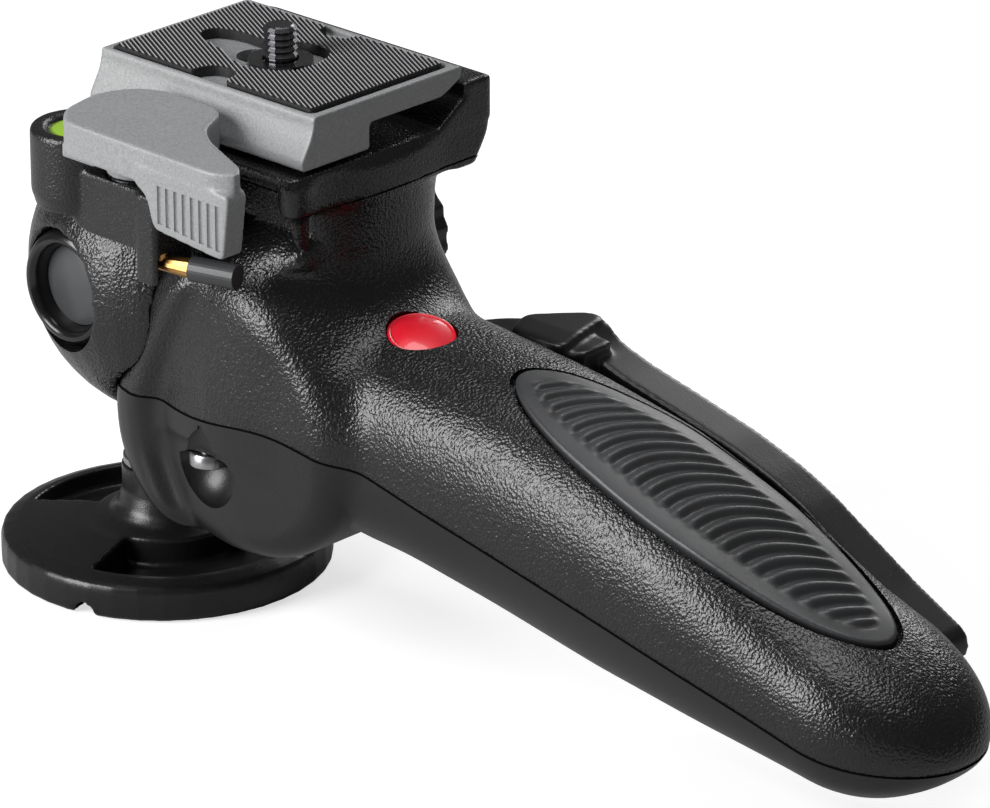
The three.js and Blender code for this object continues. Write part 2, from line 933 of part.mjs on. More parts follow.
function dialRoom() {
  const room = rodAboutY(dialRadius + gap * 2, dialInnerY - gap, wide, sides);
  const shaft = rodAboutY(spindleRadius + gap, dialInnerY - spindleLength - gap, wide);
  return solid(room).add(solid(shaft)).translate([dialX, 0, dialZ]);
}

// Palm pad, set into the near upper side of the grip

const padFrame = new THREE.Matrix4();
{
  const slope = radians(padSlope);
  const tilt = radians(padTilt);
  const along = new THREE.Vector3(Math.cos(slope), 0, -Math.sin(slope));
  const up = new THREE.Vector3(Math.sin(slope), 0, Math.cos(slope));
  const out = up.multiplyScalar(Math.cos(tilt)).add(new THREE.Vector3(0, -Math.sin(tilt), 0));
  const across = new THREE.Vector3().crossVectors(out, along);
  padFrame.makeBasis(along, across, out);
  const share = (padX - gripStart) / (gripEnd - gripStart);
  padFrame.setPosition(padX, padY, gripTopCentre - gripDrop * share ** 1.6);
}

function padPrism(grow) {
  const shape = new THREE.Shape();
  shape.absellipse(0, 0, padHalfLength + grow, padHalfWidth + grow, 0, Math.PI * 2);
  return solid(prism(shape, wall, wide, 18).applyMatrix4(padFrame));
}

function palmPad() {
  const skinOutside = solid(gripSkin(-padProud));
  const skinInside = solid(gripSkin(padThickness - padProud));
  return padPrism(0).intersect(skinOutside).subtract(skinInside).subtract(triggerRoom());
}

function padRoom() {
  return padPrism(gap).subtract(solid(gripSkin(padThickness - padProud + gap)));
}

// Badge on the slope between neck and grip

const badgeFrame = new THREE.Matrix4();
badgeFrame.makeRotationFromEuler(new THREE.Euler(radians(badgeTilt), radians(padSlope), 0));
badgeFrame.setPosition(badgeX, badgeY, badgeZ);

function badge() {
  return solid(turned([
    [0, -badgeThickness],
    [badgeRadius, -badgeThickness],
    [badgeRadius, 0],
    [badgeRadius * 0.7, badgeThickness * 0.25],
    [0, badgeThickness * 0.4],
  ]).applyMatrix4(badgeFrame));
}

function badgeRoom() {
  return solid(rod(badgeRadius + gap / 2, -badgeThickness - gap, overrun, sides).applyMatrix4(badgeFrame));
}

// Main castings

function screwRoom(x, y, top) {
  return solid(rod(coverScrewShank + gap, 0, top, smallSides).translate(x, y, 0));
}

const coverScrewEnd = coverScrewTop + coverScrewReach;


function bodyRooms() {
  const reach = wide;
  let rooms = solid(rodAboutX(boreRadius, -reach, boreEnd, sides).translate(0, 0, ballHeight));
  rooms = rooms.add(solid(rodAboutX(rodRadius + gap, 0, armBayMinX + overrun).translate(0, 0, ballHeight)));
  const nutEnd = rodNutStart + rodNutThickness + rodTravel + gap;
  rooms = rooms.add(solid(rodAboutX(rodNutRadius + gap * 2, armBayMinX, nutEnd).translate(0, 0, ballHeight)));
  rooms = rooms.add(solid(sphere(seatOuter + gap, 0, ballHeight)));
  rooms = rooms.add(coneBelowBall(sweepAngle)).add(triggerRoom()).add(dialRoom());
  rooms = rooms.add(solid(rod(pinRadius + fit, armMiddle - pinHalfLength - gap,
    armMiddle + pinHalfLength + gap).translate(pinX, pinY, 0)));
  rooms = rooms.add(badgeRoom()).add(catchRoom());
  for (const side of [-1, 1]) {
    rooms = rooms.add(screwRoom(coverScrewX, side * coverScrewY, coverScrewEnd + gap));
  }
  return rooms.add(screwRoom(endScrewX, 0, endScrewTop + endScrewReach + gap));
}

// The hollow in the near wall under the platform's lip.
function lipHollow() {
  const top = platformFloor - hollowLip;
  const plan = outline(rectangle(hollowMinX, hollowMaxX, platformNearY - overrun, hollowBackY),
    platformRound / 2);
  return solid(prism(plan, top - hollowHeight, top, 2));
}

function platformScrewRooms() {
  let rooms = null;
  for (const x of platformScrewXs) {
    for (const side of [-1, 1]) {
      const shank = rod(platformScrewRadius + fit, platformFloor - platformScrewHeadHeight
        - platformScrewReach - gap, wide).translate(x, side * platformScrewY, 0);
      const head = rod(platformScrewHead + gap, platformFloor - platformScrewHeadHeight - fit, wide)
        .translate(x, side * platformScrewY, 0);
      const room = solid(shank).add(solid(head));
      rooms = rooms ? rooms.add(room) : room;
    }
  }
  return rooms;
}

function upperShell() {
  const body = bodyOuter().subtract(belowSeam(gap / 2)).subtract(bodyRooms()).subtract(padRoom());
  return body.subtract(gripHollow()).subtract(platformScrewRooms()).subtract(lipHollow());
}

function teardropRoom(side) {
  const room = new THREE.SphereGeometry(1, sides, smallSides);
  room.scale(teardropHalfX, teardropHalfY, teardropHalfZ);
  const middle = coverScrewTop - coverScrewHeadHeight;
  return solid(room.translate(coverScrewX, side * (barrelHalfWidth - gap), middle));
}

function coverScrewHeadRoom(x, y, top) {
  return solid(rod(coverScrewHead + gap, top - coverScrewHeadHeight - gap, top + fit).translate(x, y, 0));
}

function lowerCover() {
  let cover = bodyOuter().intersect(belowSeam(-gap / 2)).subtract(bodyRooms()).subtract(gripHollow());
  for (const side of [-1, 1]) {
    cover = cover.subtract(teardropRoom(side));
    cover = cover.subtract(coverScrewHeadRoom(coverScrewX, side * coverScrewY, coverScrewTop));
  }
  const headRoom = rod(coverScrewHead + gap, -overrun, endScrewTop + fit).translate(endScrewX, 0, 0);
  return cover.subtract(solid(headRoom));
}

function coverScrew(x, y, top, reach) {
  const head = rod(coverScrewHead, top - coverScrewHeadHeight, top);
  const shank = rod(coverScrewShank, top - coverScrewHeadHeight, top + reach);
  const hex = rod(coverScrewShank, top - coverScrewHeadHeight - overrun, top - coverScrewHeadHeight / 2, 6);
  return solid(head).add(solid(shank)).subtract(solid(hex)).translate([x, y, 0]);
}

// Platform casting

function platform() {
  const corners = [platformRound, platformRound / 3, platformRound / 3, platformRound];
  const plan = outline(rectangle(platformMinX, platformMaxX, platformNearY, platformFarY), corners);
  const inset = platformRound / 2.5;
  const foot = outline(rectangle(platformMinX + inset, platformMaxX - inset, platformNearY + inset,
    platformFarY - inset), corners);
  const slopeStart = platformBottom + inset;
  let body = solid(prism(plan, slopeStart, platformFloor)).add(solid(prism(foot, platformBottom, platformFloor)));
  const jaw = outline([
    [jawFootY, platformFloor - gap],
    [platformFarY, platformFloor - gap],
    [platformFarY, jawTop],
    [jawInnerY, jawTop],
    [jawInnerY, jawTop - plateChamfer],
  ], [0, 0, platformRound / 4, 0, 0]);
  const jawLength = endPrism(jaw, platformMinX, platformMaxX, 2);
  body = body.add(solid(jawLength).intersect(solid(prism(plan, 0, wide))));
  const bracketPlan = outline(rectangle(bracketMinX, bracketMaxX, bracketNearY, platformNearY + overrun),
    [platformRound / 3, platformRound / 3, 0, 0]);
  const bracketSide = outline([
    [bracketMinX, bracketBottom],
    [bracketMaxX, bracketBottom],
    [bracketMaxX, bracketTop],
    [bracketMinX, bracketTop],
  ], [platformRound, 0, 0, 0]);
  const ribNearY = bracketNearY - ribProud;
  const ribPlan = outline(rectangle(bracketMaxX - ribWidth, bracketMaxX, ribNearY, platformNearY + overrun),
    [ribProud, ribProud, 0, 0]);
  const rib = solid(prism(ribPlan, ribBottom, bracketTop));
  const bracket = solid(prism(bracketPlan, 0, wide)).intersect(solid(sidePrism(bracketSide, -wide, wide)))
    .add(rib);
  const level = solid(rod(levelRadius, levelBottom, levelTop, sides).translate(levelX, levelY, 0));
  const web = solid(block(levelX - levelRadius * 0.6, levelX + levelRadius, levelY, platformNearY + overrun,
    platformBottom + gap, levelTop));
  const neck = solid(neckSkin(-gap).translate(0, 0, gap));
  body = body.add(bracket.subtract(neck)).add(level).add(web);
  const vial = rod(vialRadius + fit, levelTop - vialHeight - fit, wide, sides).translate(levelX, levelY, 0);
  body = body.subtract(solid(vial)).subtract(platformScrewRooms()).subtract(lipHollow());
  const pivot = rod(pivotRadius + fit, bracketBottom + overrun / 2, wide).translate(pivotX, pivotY, 0);
  const spring = rod(leverSpringOuter + gap, bracketTop - overrun, wide).translate(pivotX, pivotY, 0);
  body = body.subtract(solid(pivot)).subtract(solid(spring));
  const catchPin = rod(catchPinRadius + fit, ribBottom - overrun, catchZ + catchPinHeight + fit);
  const turnReach = catchConeRadius + gap / 3;
  const turnRoom = block(catchX - turnReach, wide, catchY - turnReach, platformNearY,
    ribBottom - overrun, catchZ + turnReach);
  body = body.subtract(solid(catchPin.translate(catchX, catchY, 0)));
  return body.subtract(solid(turnRoom));
}

function platformScrew(x, y) {
  const low = platformFloor - platformScrewHeadHeight;
  const head = rod(platformScrewHead, low, platformFloor);
  const shank = rod(platformScrewRadius, low - platformScrewReach, platformFloor);
  const hex = rod(platformScrewRadius, platformFloor - platformScrewHeadHeight / 2, wide, 6);
  return solid(head).add(solid(shank)).subtract(solid(hex)).translate([x, y, 0]);
}

function levelVial() {
  const low = levelTop - vialHeight;
  return solid(turned([
    [0, low],
    [vialRadius, low],
    [vialRadius, levelTop - gap],
    [vialRadius * 0.8, levelTop],
    [0, levelTop + gap],
  ]).translate(levelX, levelY, 0));
}

// Quick plate pieces

function quickPlate() {
  const nearFoot = -plateHalfWidth - plateFlare;
  const section = outline([
    [nearFoot, plateDeepBottom],
    [plateStepY, plateDeepBottom],
    [plateStepY, plateShallowBottom],
    [plateHalfWidth - plateChamfer * 2, plateShallowBottom],
    [plateHalfWidth, plateShallowBottom + plateChamfer],
    [plateHalfWidth, plateTop],
    [-plateHalfWidth, plateTop],
  ], [0.8, 0.8, 0.8, 0.8, 0.8, 0, 0]);
  const low = plateX - plateLength / 2;
  const high = plateX + plateLength / 2;
  let plate = solid(endPrism(section, low, high, 2));
  const pad = outline(rectangle(low + plateRim, high - plateRim, plateRim - plateHalfWidth,
    plateHalfWidth - plateRim), plateRim);
  plate = plate.subtract(solid(prism(pad, plateTop - padRecess, wide)));
  plate = plate.subtract(slotRoom(slotRadius, slotHalfLength, wide));
  const headRoom = solid(rod(screwHeadRadius + gap * 2, 0, screwHeadTop + gap, sides).translate(plateX, 0, 0));
  return plate.subtract(headRoom);
}

const screwHeadTop = plateShallowBottom + screwHeadThickness / 4;
const clipTop = plateTop - padRecess + clipThickness + fit;

function slotRoom(radius, halfLength, top) {
  const shape = new THREE.Shape();
  shape.absarc(plateX + halfLength, 0, radius, -Math.PI / 2, Math.PI / 2, false);
  shape.absarc(plateX - halfLength, 0, radius, Math.PI / 2, (Math.PI * 3) / 2, false);
  return solid(prism(shape, 0, top, 8));
}

function platePad() {
  const low = plateX - plateLength / 2 + plateRim + gap;
  const high = plateX + plateLength / 2 - plateRim - gap;
  const half = plateHalfWidth - plateRim - gap;
  const shape = outline(rectangle(low, high, -half, half), plateRim);
  const pad = solid(prism(shape, plateTop - padRecess + fit / 2, plateTop + topPadProud));
  const eye = new THREE.Shape();
  eye.absellipse(plateX, 0, slotHalfLength * 2, clipRadius + gap, 0, Math.PI * 2);
  let cut = pad.subtract(solid(prism(eye, 0, wide, 10)));
  for (const side of [-1, 1]) {
    const bite = rod(slotRadius, 0, wide).translate(plateX, side * half, 0);
    cut = cut.subtract(solid(bite));
  }
  return cut;
}

function screwClip() {
  const low = clipTop - clipThickness;
  return solid(turned(ringPoints(screwRadius + fit * 2, clipRadius, low, clipTop)).translate(plateX, 0, 0));
}

function cameraScrew() {
  const head = rod(screwHeadRadius, screwHeadTop - screwHeadThickness, screwHeadTop, sides);
  const threads = 5;
  const pitch = (screwTop - plateTop) / threads;
  const points = [[0, screwHeadTop - fit], [screwRadius * 0.9, screwHeadTop - fit]];
  points.push([screwRadius * 0.9, plateTop + topPadProud]);
  for (let i = 0; i < threads; i += 1) {
    const base = plateTop + i * pitch;
    points.push([screwRadius, base + pitch * 0.35], [screwRadius * 0.84, base + pitch * 0.85]);
  }
  points.push([screwRadius * 0.7, screwTop], [0, screwTop]);
  const slot = block(-wide, wide, -coinSlotWidth / 2, coinSlotWidth / 2,
    screwHeadTop - screwHeadThickness - overrun, screwHeadTop - screwHeadThickness + coinSlotDepth);
  return solid(head).add(solid(turned(points, smallSides))).subtract(solid(slot)).translate([plateX, 0, 0]);
}

// Lock lever

// Plan of the lever's top: points in shares of its reach from the left tip to the tab's end.
const leverMinX = 16.5;
const leverBackY = -21.3;
const leverPlanShares = [
  [0.13, 0.98],
  [0.9, 1.0],
  [1.0, 0.9],
  [0.94, 0.77],
  [0.66, 0.52],
  [0.56, 0.36],
  [0.5, 0.1],
  [0.44, 0.0],
  [0.16, 0.0],
  [0.055, 0.12],
  [0.0, 0.4],
  [0.04, 0.78],
];

function lockLever() {
  const width = tabMaxX - leverMinX;
  const depth = leverBackY - tabNearY;
  const plan = leverPlanShares.map(([along, near]) => [leverMinX + along * width, leverBackY - near * depth]);
  const top = solid(prism(outline(plan, tabThickness / 2), leverTop - leverThickness, leverTop, 2));
  const tabSide = outline([
    [tabMinX + tabThickness * 0.4, tabBottom + tabThickness * 0.3],
    [tabMaxX - tabTaper, tabBottom - tabThickness * 0.05],
    [tabMaxX - tabTaper / 4, leverTop - leverThickness / 2],
    [tabMinX - tabThickness * 0.7, leverTop - leverThickness / 2],
    [tabMinX - tabThickness * 0.7, leverTop - leverThickness],
    [tabMinX, leverTop - leverThickness * 1.3],
  ], tabThickness / 3);
  let lever = top.add(solid(sidePrism(tabSide, tabNearY, tabNearY + tabThickness, 2)));
  const ridgeStart = tabMinX + tabThickness / 2;
  const pitch = (tabMaxX - tabTaper - ridgeStart) / tabGrooves;
  for (let i = 0; i < tabGrooves; i += 1) {
    const x = ridgeStart + (i + 0.5) * pitch;
    const groove = rod(pitch * 0.26, tabBottom - overrun, leverTop - leverThickness * 0.7, 8);
    lever = lever.subtract(solid(groove.translate(x, tabNearY - pitch * 0.26 + grooveDepth, 0)));
  }
  const boss = rod(bossRadius, leverTop - leverThickness - bossDrop, leverTop - leverThickness / 2, sides);
  lever = lever.add(solid(boss.translate(pivotX, pivotY, 0)));
  const hole = rod(pivotRadius + fit, 0, leverTop - leverThickness / 2).translate(pivotX, pivotY, 0);
  return lever.subtract(solid(hole));
}

const bossBottom = leverTop - leverThickness - bossDrop;

function pivotPin() {
  const low = bracketTop - overrun;
  return solid(rod(pivotRadius, low - pivotHeadHeight, leverTop - leverThickness / 2 - gap)
    .translate(pivotX, pivotY, 0));
}

function leverSpring() {
  const low = bracketTop - overrun + fit;
  const ring = ringPoints(pivotRadius + gap, leverSpringOuter, low, bossBottom - fit);
  return solid(turned(ring, sides).translate(pivotX, pivotY, 0));
}

// Safety catch: a brass finger on a small upright pin, with a grey sleeve

const catchFrame = new THREE.Matrix4();
catchFrame.makeRotationZ(radians(catchTurn));
catchFrame.setPosition(catchX, catchY, catchZ);

function catchFinger() {
  const finger = solid(turnedAboutX([
    [0, -catchPinRadius],
    [catchPinRadius, -catchPinRadius],
    [catchConeRadius, catchConeLength],
    [catchPinRadius, catchConeLength],
    [catchPinRadius, catchConeLength + catchSleeveLength - catchConeRadius],
    [0, catchConeLength + catchSleeveLength - catchConeRadius],
  ], smallSides).applyMatrix4(catchFrame));
  const pin = rod(catchPinRadius, catchZ, catchZ + catchPinHeight).translate(catchX, catchY, 0);
  return finger.add(solid(pin));
}

function catchSleeve() {
  const low = catchConeLength + fit;
  const high = catchConeLength + catchSleeveLength;
  const sleeve = solid(rodAboutX(catchSleeveRadius, low, high, sides).applyMatrix4(catchFrame));
  const hole = rodAboutX(catchPinRadius + fit, 0, high - catchConeRadius + gap);
  return sleeve.subtract(solid(hole.applyMatrix4(catchFrame)));
}

// Assembly

const head = new THREE.Group();

head.add(piece('base_disc', baseDisc(), castBlack));
head.add(piece('tripod_bush', tripodBush(), steel));
head.add(piece('base_stem', baseStem(), steel));
head.add(piece('steel_ball', steelBall(), steel));
head.add(piece('brake_cup', brakeCup(), nylon));
head.add(piece('rear_housing', rearHousing(), castBlack));
head.add(piece('ball_seat', ballSeat(), nylon));
head.add(piece('side_cap_near', sideCap(-1), plasticGrey));
head.add(piece('side_cap_far', sideCap(1), plasticGrey));
head.add(piece('upper_shell', upperShell(), castBlack));
head.add(piece('lower_cover', lowerCover(), satinBlack));
const coverScrews = [
  ['cover_screw_near', coverScrewX, -coverScrewY, coverScrewTop, coverScrewReach],
  ['cover_screw_far', coverScrewX, coverScrewY, coverScrewTop, coverScrewReach],
  ['cover_screw_end', endScrewX, 0, endScrewTop, endScrewReach],
];
for (const [name, ...place] of coverScrews) head.add(piece(name, coverScrew(...place), steel));
head.add(piece('pull_rod', pullRod(), steel));
head.add(piece('brake_spring', brakeSpring(), darkSteel));
head.add(piece('spring_washer', springWasher(), steel));
head.add(piece('trigger_lever', triggerLever(), satinBlack));
head.add(piece('trigger_pin', triggerPin(), steel));
head.add(piece('friction_dial', frictionDial(), castBlack));
head.add(piece('dial_spindle', dialSpindle(), steel));
head.add(piece('palm_pad', palmPad(), rubberGrey));
head.add(piece('badge', badge(), redEnamel));
head.add(piece('platform', platform(), castBlack));
platformScrewXs.forEach((x, i) => {
  head.add(piece(`platform_screw_near_${i + 1}`, platformScrew(x, -platformScrewY), steel));
  head.add(piece(`platform_screw_far_${i + 1}`, platformScrew(x, platformScrewY), steel));
});
head.add(piece('level_vial', levelVial(), levelGreen));
head.add(piece('quick_plate', quickPlate(), castGrey));
head.add(piece('plate_pad', platePad(), rubberBlack));
head.add(piece('screw_clip', screwClip(), darkSteel));
head.add(piece('camera_screw', cameraScrew(), darkSteel));
head.add(piece('lock_lever', lockLever(), castGrey));
head.add(piece('lever_pivot', pivotPin(), steel));
head.add(piece('lever_spring', leverSpring(), darkSteel));
head.add(piece('catch_finger', catchFinger(), brass));
head.add(piece('catch_sleeve', catchSleeve(), plasticGrey));

export default head;
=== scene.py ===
from math import cos, pi, radians, sin

import bpy
import numpy as np
from mathutils import Matrix, Vector


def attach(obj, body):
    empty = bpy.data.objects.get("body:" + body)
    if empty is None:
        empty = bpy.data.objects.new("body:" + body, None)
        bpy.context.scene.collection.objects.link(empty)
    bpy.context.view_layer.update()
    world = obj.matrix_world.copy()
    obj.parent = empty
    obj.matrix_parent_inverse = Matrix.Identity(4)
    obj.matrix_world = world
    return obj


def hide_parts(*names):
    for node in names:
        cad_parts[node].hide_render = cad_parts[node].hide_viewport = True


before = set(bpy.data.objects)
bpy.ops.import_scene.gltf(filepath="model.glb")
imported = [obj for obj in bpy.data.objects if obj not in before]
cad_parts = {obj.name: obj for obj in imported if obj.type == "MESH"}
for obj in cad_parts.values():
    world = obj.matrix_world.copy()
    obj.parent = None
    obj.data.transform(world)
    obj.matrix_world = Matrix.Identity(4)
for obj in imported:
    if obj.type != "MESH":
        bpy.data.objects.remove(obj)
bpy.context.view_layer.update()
MM = 0.001
MERGE_DISTANCE, SLIVER = 1e-6, 1e-7
CORNER_REACH_SHARE = 0.45
CURVE_STEPS = 720


# Bench tools


def pick(*objs):
    """Selects these objects alone and makes the first one active."""
    bpy.ops.object.select_all(action="DESELECT")
    for obj in objs:
        obj.select_set(True)
    bpy.context.view_layer.objects.active = objs[0]


def finish_with(obj, kind, **settings):
    """Adds one modifier and applies it."""
    pick(obj)
    modifier = obj.modifiers.new(kind.lower(), kind)
    for key, value in settings.items():
        setattr(modifier, key, value)
    bpy.ops.object.modifier_apply(modifier=modifier.name)
    return obj


def cut(obj, tool, operation="DIFFERENCE"):
    """Cuts, joins or intersects with a tool, which is then thrown away."""
    finish_with(obj, "BOOLEAN", operation=operation, object=tool, solver="MANIFOLD")
    bpy.data.objects.remove(tool, do_unlink=True)
    return obj


def soften(obj, voxel, passes):
    """Casts a piece afresh in one skin and rounds its edges."""
    finish_with(obj, "REMESH", mode="VOXEL", voxel_size=voxel * MM)
    finish_with(obj, "SMOOTH", factor=0.5, iterations=passes)
    return obj


def smooth(obj, angle):
    """Shades a piece smooth, save at edges sharper than the angle."""
    pick(obj)
    bpy.ops.object.shade_smooth_by_angle(angle=radians(angle))
    return obj


def settle(obj):
    """Puts a piece's place into its mesh."""
    pick(obj)
    bpy.ops.object.transform_apply(location=True, rotation=True, scale=True)
    return obj


def tidy_mesh(obj):
    """Merges doubles and turns every face outwards."""
    pick(obj)
    bpy.ops.object.mode_set(mode="EDIT")
    bpy.ops.mesh.select_all(action="SELECT")
    bpy.ops.mesh.remove_doubles(threshold=MERGE_DISTANCE)
    bpy.ops.mesh.delete_loose(use_verts=True, use_edges=True, use_faces=False)
    bpy.ops.mesh.select_all(action="SELECT")
    bpy.ops.mesh.normals_make_consistent(inside=False)
    bpy.ops.object.mode_set(mode="OBJECT")
    return obj


def ring_of(name, points):
    """A flat face whose corners are moved to these places, in millimetres."""
    bpy.ops.object.select_all(action="DESELECT")
    bpy.ops.mesh.primitive_circle_add(vertices=len(points), radius=MM, fill_type="NGON")
    obj = bpy.context.object
    obj.name = obj.data.name = name
    for vertex, point in zip(obj.data.vertices, points):
        vertex.co = Vector(point) * MM
    return obj


def slab(name, outline, low, high, axis="Z"):
    """An outline drawn out along an axis. The outline's pairs are the other two axes."""
    if axis == "Z":
        points = [(a, b, low) for a, b in outline]
        move = (0, 0, (high - low) * MM)
    elif axis == "Y":
        points = [(a, low, b) for a, b in outline]
        move = (0, (high - low) * MM, 0)
    else:
        points = [(low, a, b) for a, b in outline]
        move = ((high - low) * MM, 0, 0)
    obj = ring_of(name, points)
    pick(obj)
    bpy.ops.object.mode_set(mode="EDIT")
    bpy.ops.mesh.select_all(action="SELECT")
    bpy.ops.mesh.extrude_region_move(TRANSFORM_OT_translate={"value": move})
    bpy.ops.object.mode_set(mode="OBJECT")
    return tidy_mesh(obj)


def block(name, low, high):
    """A box between two corners."""
    bpy.ops.object.select_all(action="DESELECT")
    middle = [(a + b) / 2 * MM for a, b in zip(low, high)]
    size = [(b - a) * MM for a, b in zip(low, high)]
    bpy.ops.mesh.primitive_cube_add(size=1, location=middle, scale=size)
    obj = bpy.context.object
    obj.name = obj.data.name = name
    return settle(obj)


def bar(name, radius, low, high, sides=48):
    """A round bar between two points."""
    low, high = Vector(low) * MM, Vector(high) * MM
    bpy.ops.object.select_all(action="DESELECT")
    bpy.ops.mesh.primitive_cone_add(
        vertices=sides, radius1=radius * MM, radius2=radius * MM, depth=(high - low).length,
        location=(low + high) / 2, rotation=(high - low).to_track_quat("Z", "Y").to_euler())
    obj = bpy.context.object
    obj.name = obj.data.name = name
    return settle(obj)


def turned(name, profile, centre=(0, 0, 0), steps=96, axis="Z"):
    """A profile of (radius, height) pairs spun about an axis through a centre."""
    obj = ring_of(name, [(r, 0, h) for r, h in profile])
    pick(obj)
    bpy.ops.object.mode_set(mode="EDIT")
    bpy.ops.mesh.select_all(action="SELECT")
    bpy.ops.mesh.delete(type="ONLY_FACE")
    bpy.ops.mesh.select_all(action="SELECT")
    bpy.ops.mesh.spin(steps=steps, angle=2 * pi, center=(0, 0, 0), axis=(0, 0, 1))
    bpy.ops.mesh.select_all(action="SELECT")
    bpy.ops.mesh.remove_doubles(threshold=MERGE_DISTANCE)
    bpy.ops.mesh.dissolve_degenerate(threshold=SLIVER)
    bpy.ops.object.mode_set(mode="OBJECT")
    tidy_mesh(obj)
    turn = {"Z": Matrix(), "Y": Matrix.Rotation(-pi / 2, 4, "X"), "-Y": Matrix.Rotation(pi / 2, 4, "X")}[axis]
    obj.data.transform(Matrix.Translation(Vector(centre) * MM) @ turn)
    return obj


def copy_of(name, source):
    """A copy of an object with a mesh of its own."""
    obj = source.copy()
    obj.data = source.data.copy()
    bpy.context.collection.objects.link(obj)
    obj.name = obj.data.name = name
    return obj


def from_cad(name, node):
    """A merged copy of a CAD node, as the blank for a piece."""
    obj = copy_of(name, bpy.data.objects[node])
    obj.hide_render = obj.hide_viewport = False
    return tidy_mesh(obj)


def part_way(value, start, length):
    """How far a value has come along a stretch, from 0 to 1."""
    return min(max((value - start) / length, 0), 1)


def rounded(points, radius, steps=4):
    """An outline with each corner rounded."""
    out = []
    count = len(points)
    for i, corner in enumerate(points):
        here = Vector(corner)
        back = Vector(points[i - 1]) - here
        ahead = Vector(points[(i + 1) % count]) - here
        reach = min(radius, back.length * CORNER_REACH_SHARE, ahead.length * CORNER_REACH_SHARE)
        start = here + back.normalized() * reach
        end = here + ahead.normalized() * reach
        for k in range(steps + 1):
            t = k / steps
            out.append(tuple(start * (1 - t) ** 2 + here * 2 * t * (1 - t) + end * t * t))
    return out


def box_outline(low_a, high_a, low_b, high_b):
    """The four corners of an upright box."""
    return [(low_a, low_b), (high_a, low_b), (high_a, high_b), (low_a, high_b)]


# Flowing forms of the castings
# Each gives the distance to a surface in millimetres, less than zero inside.


def eased(table, around=False, spread=0.022):
    """A soft curve through a table of places and values."""
    at = np.array([row[0] for row in table], float)
    value = np.array([row[1] for row in table], float)
    fine = np.linspace(at[0], at[-1], CURVE_STEPS + 1)
    line = np.interp(fine, at, value)
    width = int(CURVE_STEPS * spread * 3)
    weight = np.exp(-0.5 * (np.arange(-width, width + 1) / (CURVE_STEPS * spread)) ** 2)
    weight /= weight.sum()
    if around:
        long = np.concatenate([line[-width - 1:-1], line, line[1:width + 1]])
    else:
        before = 2 * line[0] - line[width:0:-1]
        after = 2 * line[-1] - line[-2:-width - 2:-1]
        long = np.concatenate([before, line, after])
    soft = np.convolve(long, weight, "valid")
    return lambda x: np.interp(x, fine, soft)


def round_join(a, b, reach):
    """Two forms joined with a soft valley between them."""
    share = np.clip(0.5 + 0.5 * (b - a) / reach, 0, 1)
    return b + (a - b) * share - reach * share * (1 - share)


def round_cut(a, b, reach):
    """The first form less the second, with a soft edge."""
    return -round_join(-a, b, reach)


def round_corner(a, b, radius):
    """Two distances met at a rounded corner."""
    a, b = a + radius, b + radius
    return np.hypot(np.maximum(a, 0), np.maximum(b, 0)) + np.minimum(np.maximum(a, b), 0) - radius


barrel_share = eased([
    (-180, 1.01), (-160, 1.07), (-144, 1.09), (-124, 1.0), (-106, 0.89), (-75, 0.88), (-48, 1.0),
    (-25, 1.08), (0, 1.06), (45, 1.0), (90, 1.0), (130, 1.02), (157, 1.0), (180, 1.01)], around=True)
neck_length = eased([(0, 0.9), (0.42, 1.06), (0.56, 1), (0.72, 0.97), (0.87, 0.98), (0.95, 1), (1, 1.02)])
neck_width = eased([(0, 0.94), (0.42, 1.02), (0.56, 1), (0.72, 0.98), (0.87, 0.99), (0.95, 1.01), (1, 1.02)])
collar_line = eased([(14, 31), (20, 27.5), (27, 22.8), (34, 19.4), (43, 18.4), (50.5, 21), (58, 25),
                     (66, 29.5), (74, 34)], spread=0.03)
collar_rise = eased([(-30, -1.2), (-7, -1.2), (-1.6, 0.7), (0, 0.9), (1.2, 0.2), (2.8, -1.5), (4.6, -1.9),
                     (8, -1.1), (14, 0.1), (20, 0.5), (30, 0.2), (60, 0)], spread=0.008)
GRIP = [
    (0, 0, 0.94, 1.02), (0.071, 0.004, 0.96, 1.04), (0.179, 0.039, 0.96, 1.02), (0.329, 0.137, 1, 1),
    (0.493, 0.294, 1, 1), (0.657, 0.51, 0.89, 0.975), (0.814, 0.765, 0.685, 0.92),
    (0.9, 0.872, 0.63, 0.915), (1, 0.96, 0.6, 0.91)]
grip_drop = eased([(row[0], row[1]) for row in GRIP])
grip_height = eased([(row[0], row[2]) for row in GRIP])
grip_width = eased([(row[0], row[3]) for row in GRIP])
seam_drop = eased([(0, 0), (0.1, 0.02), (0.19, -0.08), (0.27, -0.02), (0.4, 0.2), (0.6, 0.48), (0.8, 0.8),
                   (0.9, 0.98), (1, 1.02)], spread=0.03)
BARREL_X, BARREL_Z, BARREL_RADIUS, BARREL_HALF_WIDTH = 38, 44.4, 27.6, 24.2
BARREL_ROUND, FAR_EXTRA_ROUND, FAR_CUT_BACK, FAR_LOW, FAR_RISE = 5.2, 9, 1.6, 46, 10
COLLAR_LOW, COLLAR_HIGH, COLLAR_SLANT_SHARE, COLLAR_BEFORE, COLLAR_AFTER = 14, 74, 0.88, -30, 60
GRIP_START, GRIP_LENGTH, GRIP_TOP, GRIP_DROP = 50, 140, 45.5, 25.5
GRIP_HALF, GRIP_POWER, GRIP_ROOT_X, GRIP_END_X, GRIP_END_LENGTH = 20, 2.5, 42, 167, 23
BELLY_SHARE, END_TUCK_SHARE, END_TUCK_DEPTH = 0.05, 0.14, 8
NECK_X, NECK_HALF_LENGTH, NECK_HALF_WIDTH, NECK_POWER = 37.5, 20.5, 22.5, 2.4
NECK_LOW, NECK_RISE, NECK_FOOT, NECK_TOP = 46, 40.7, 44, 92
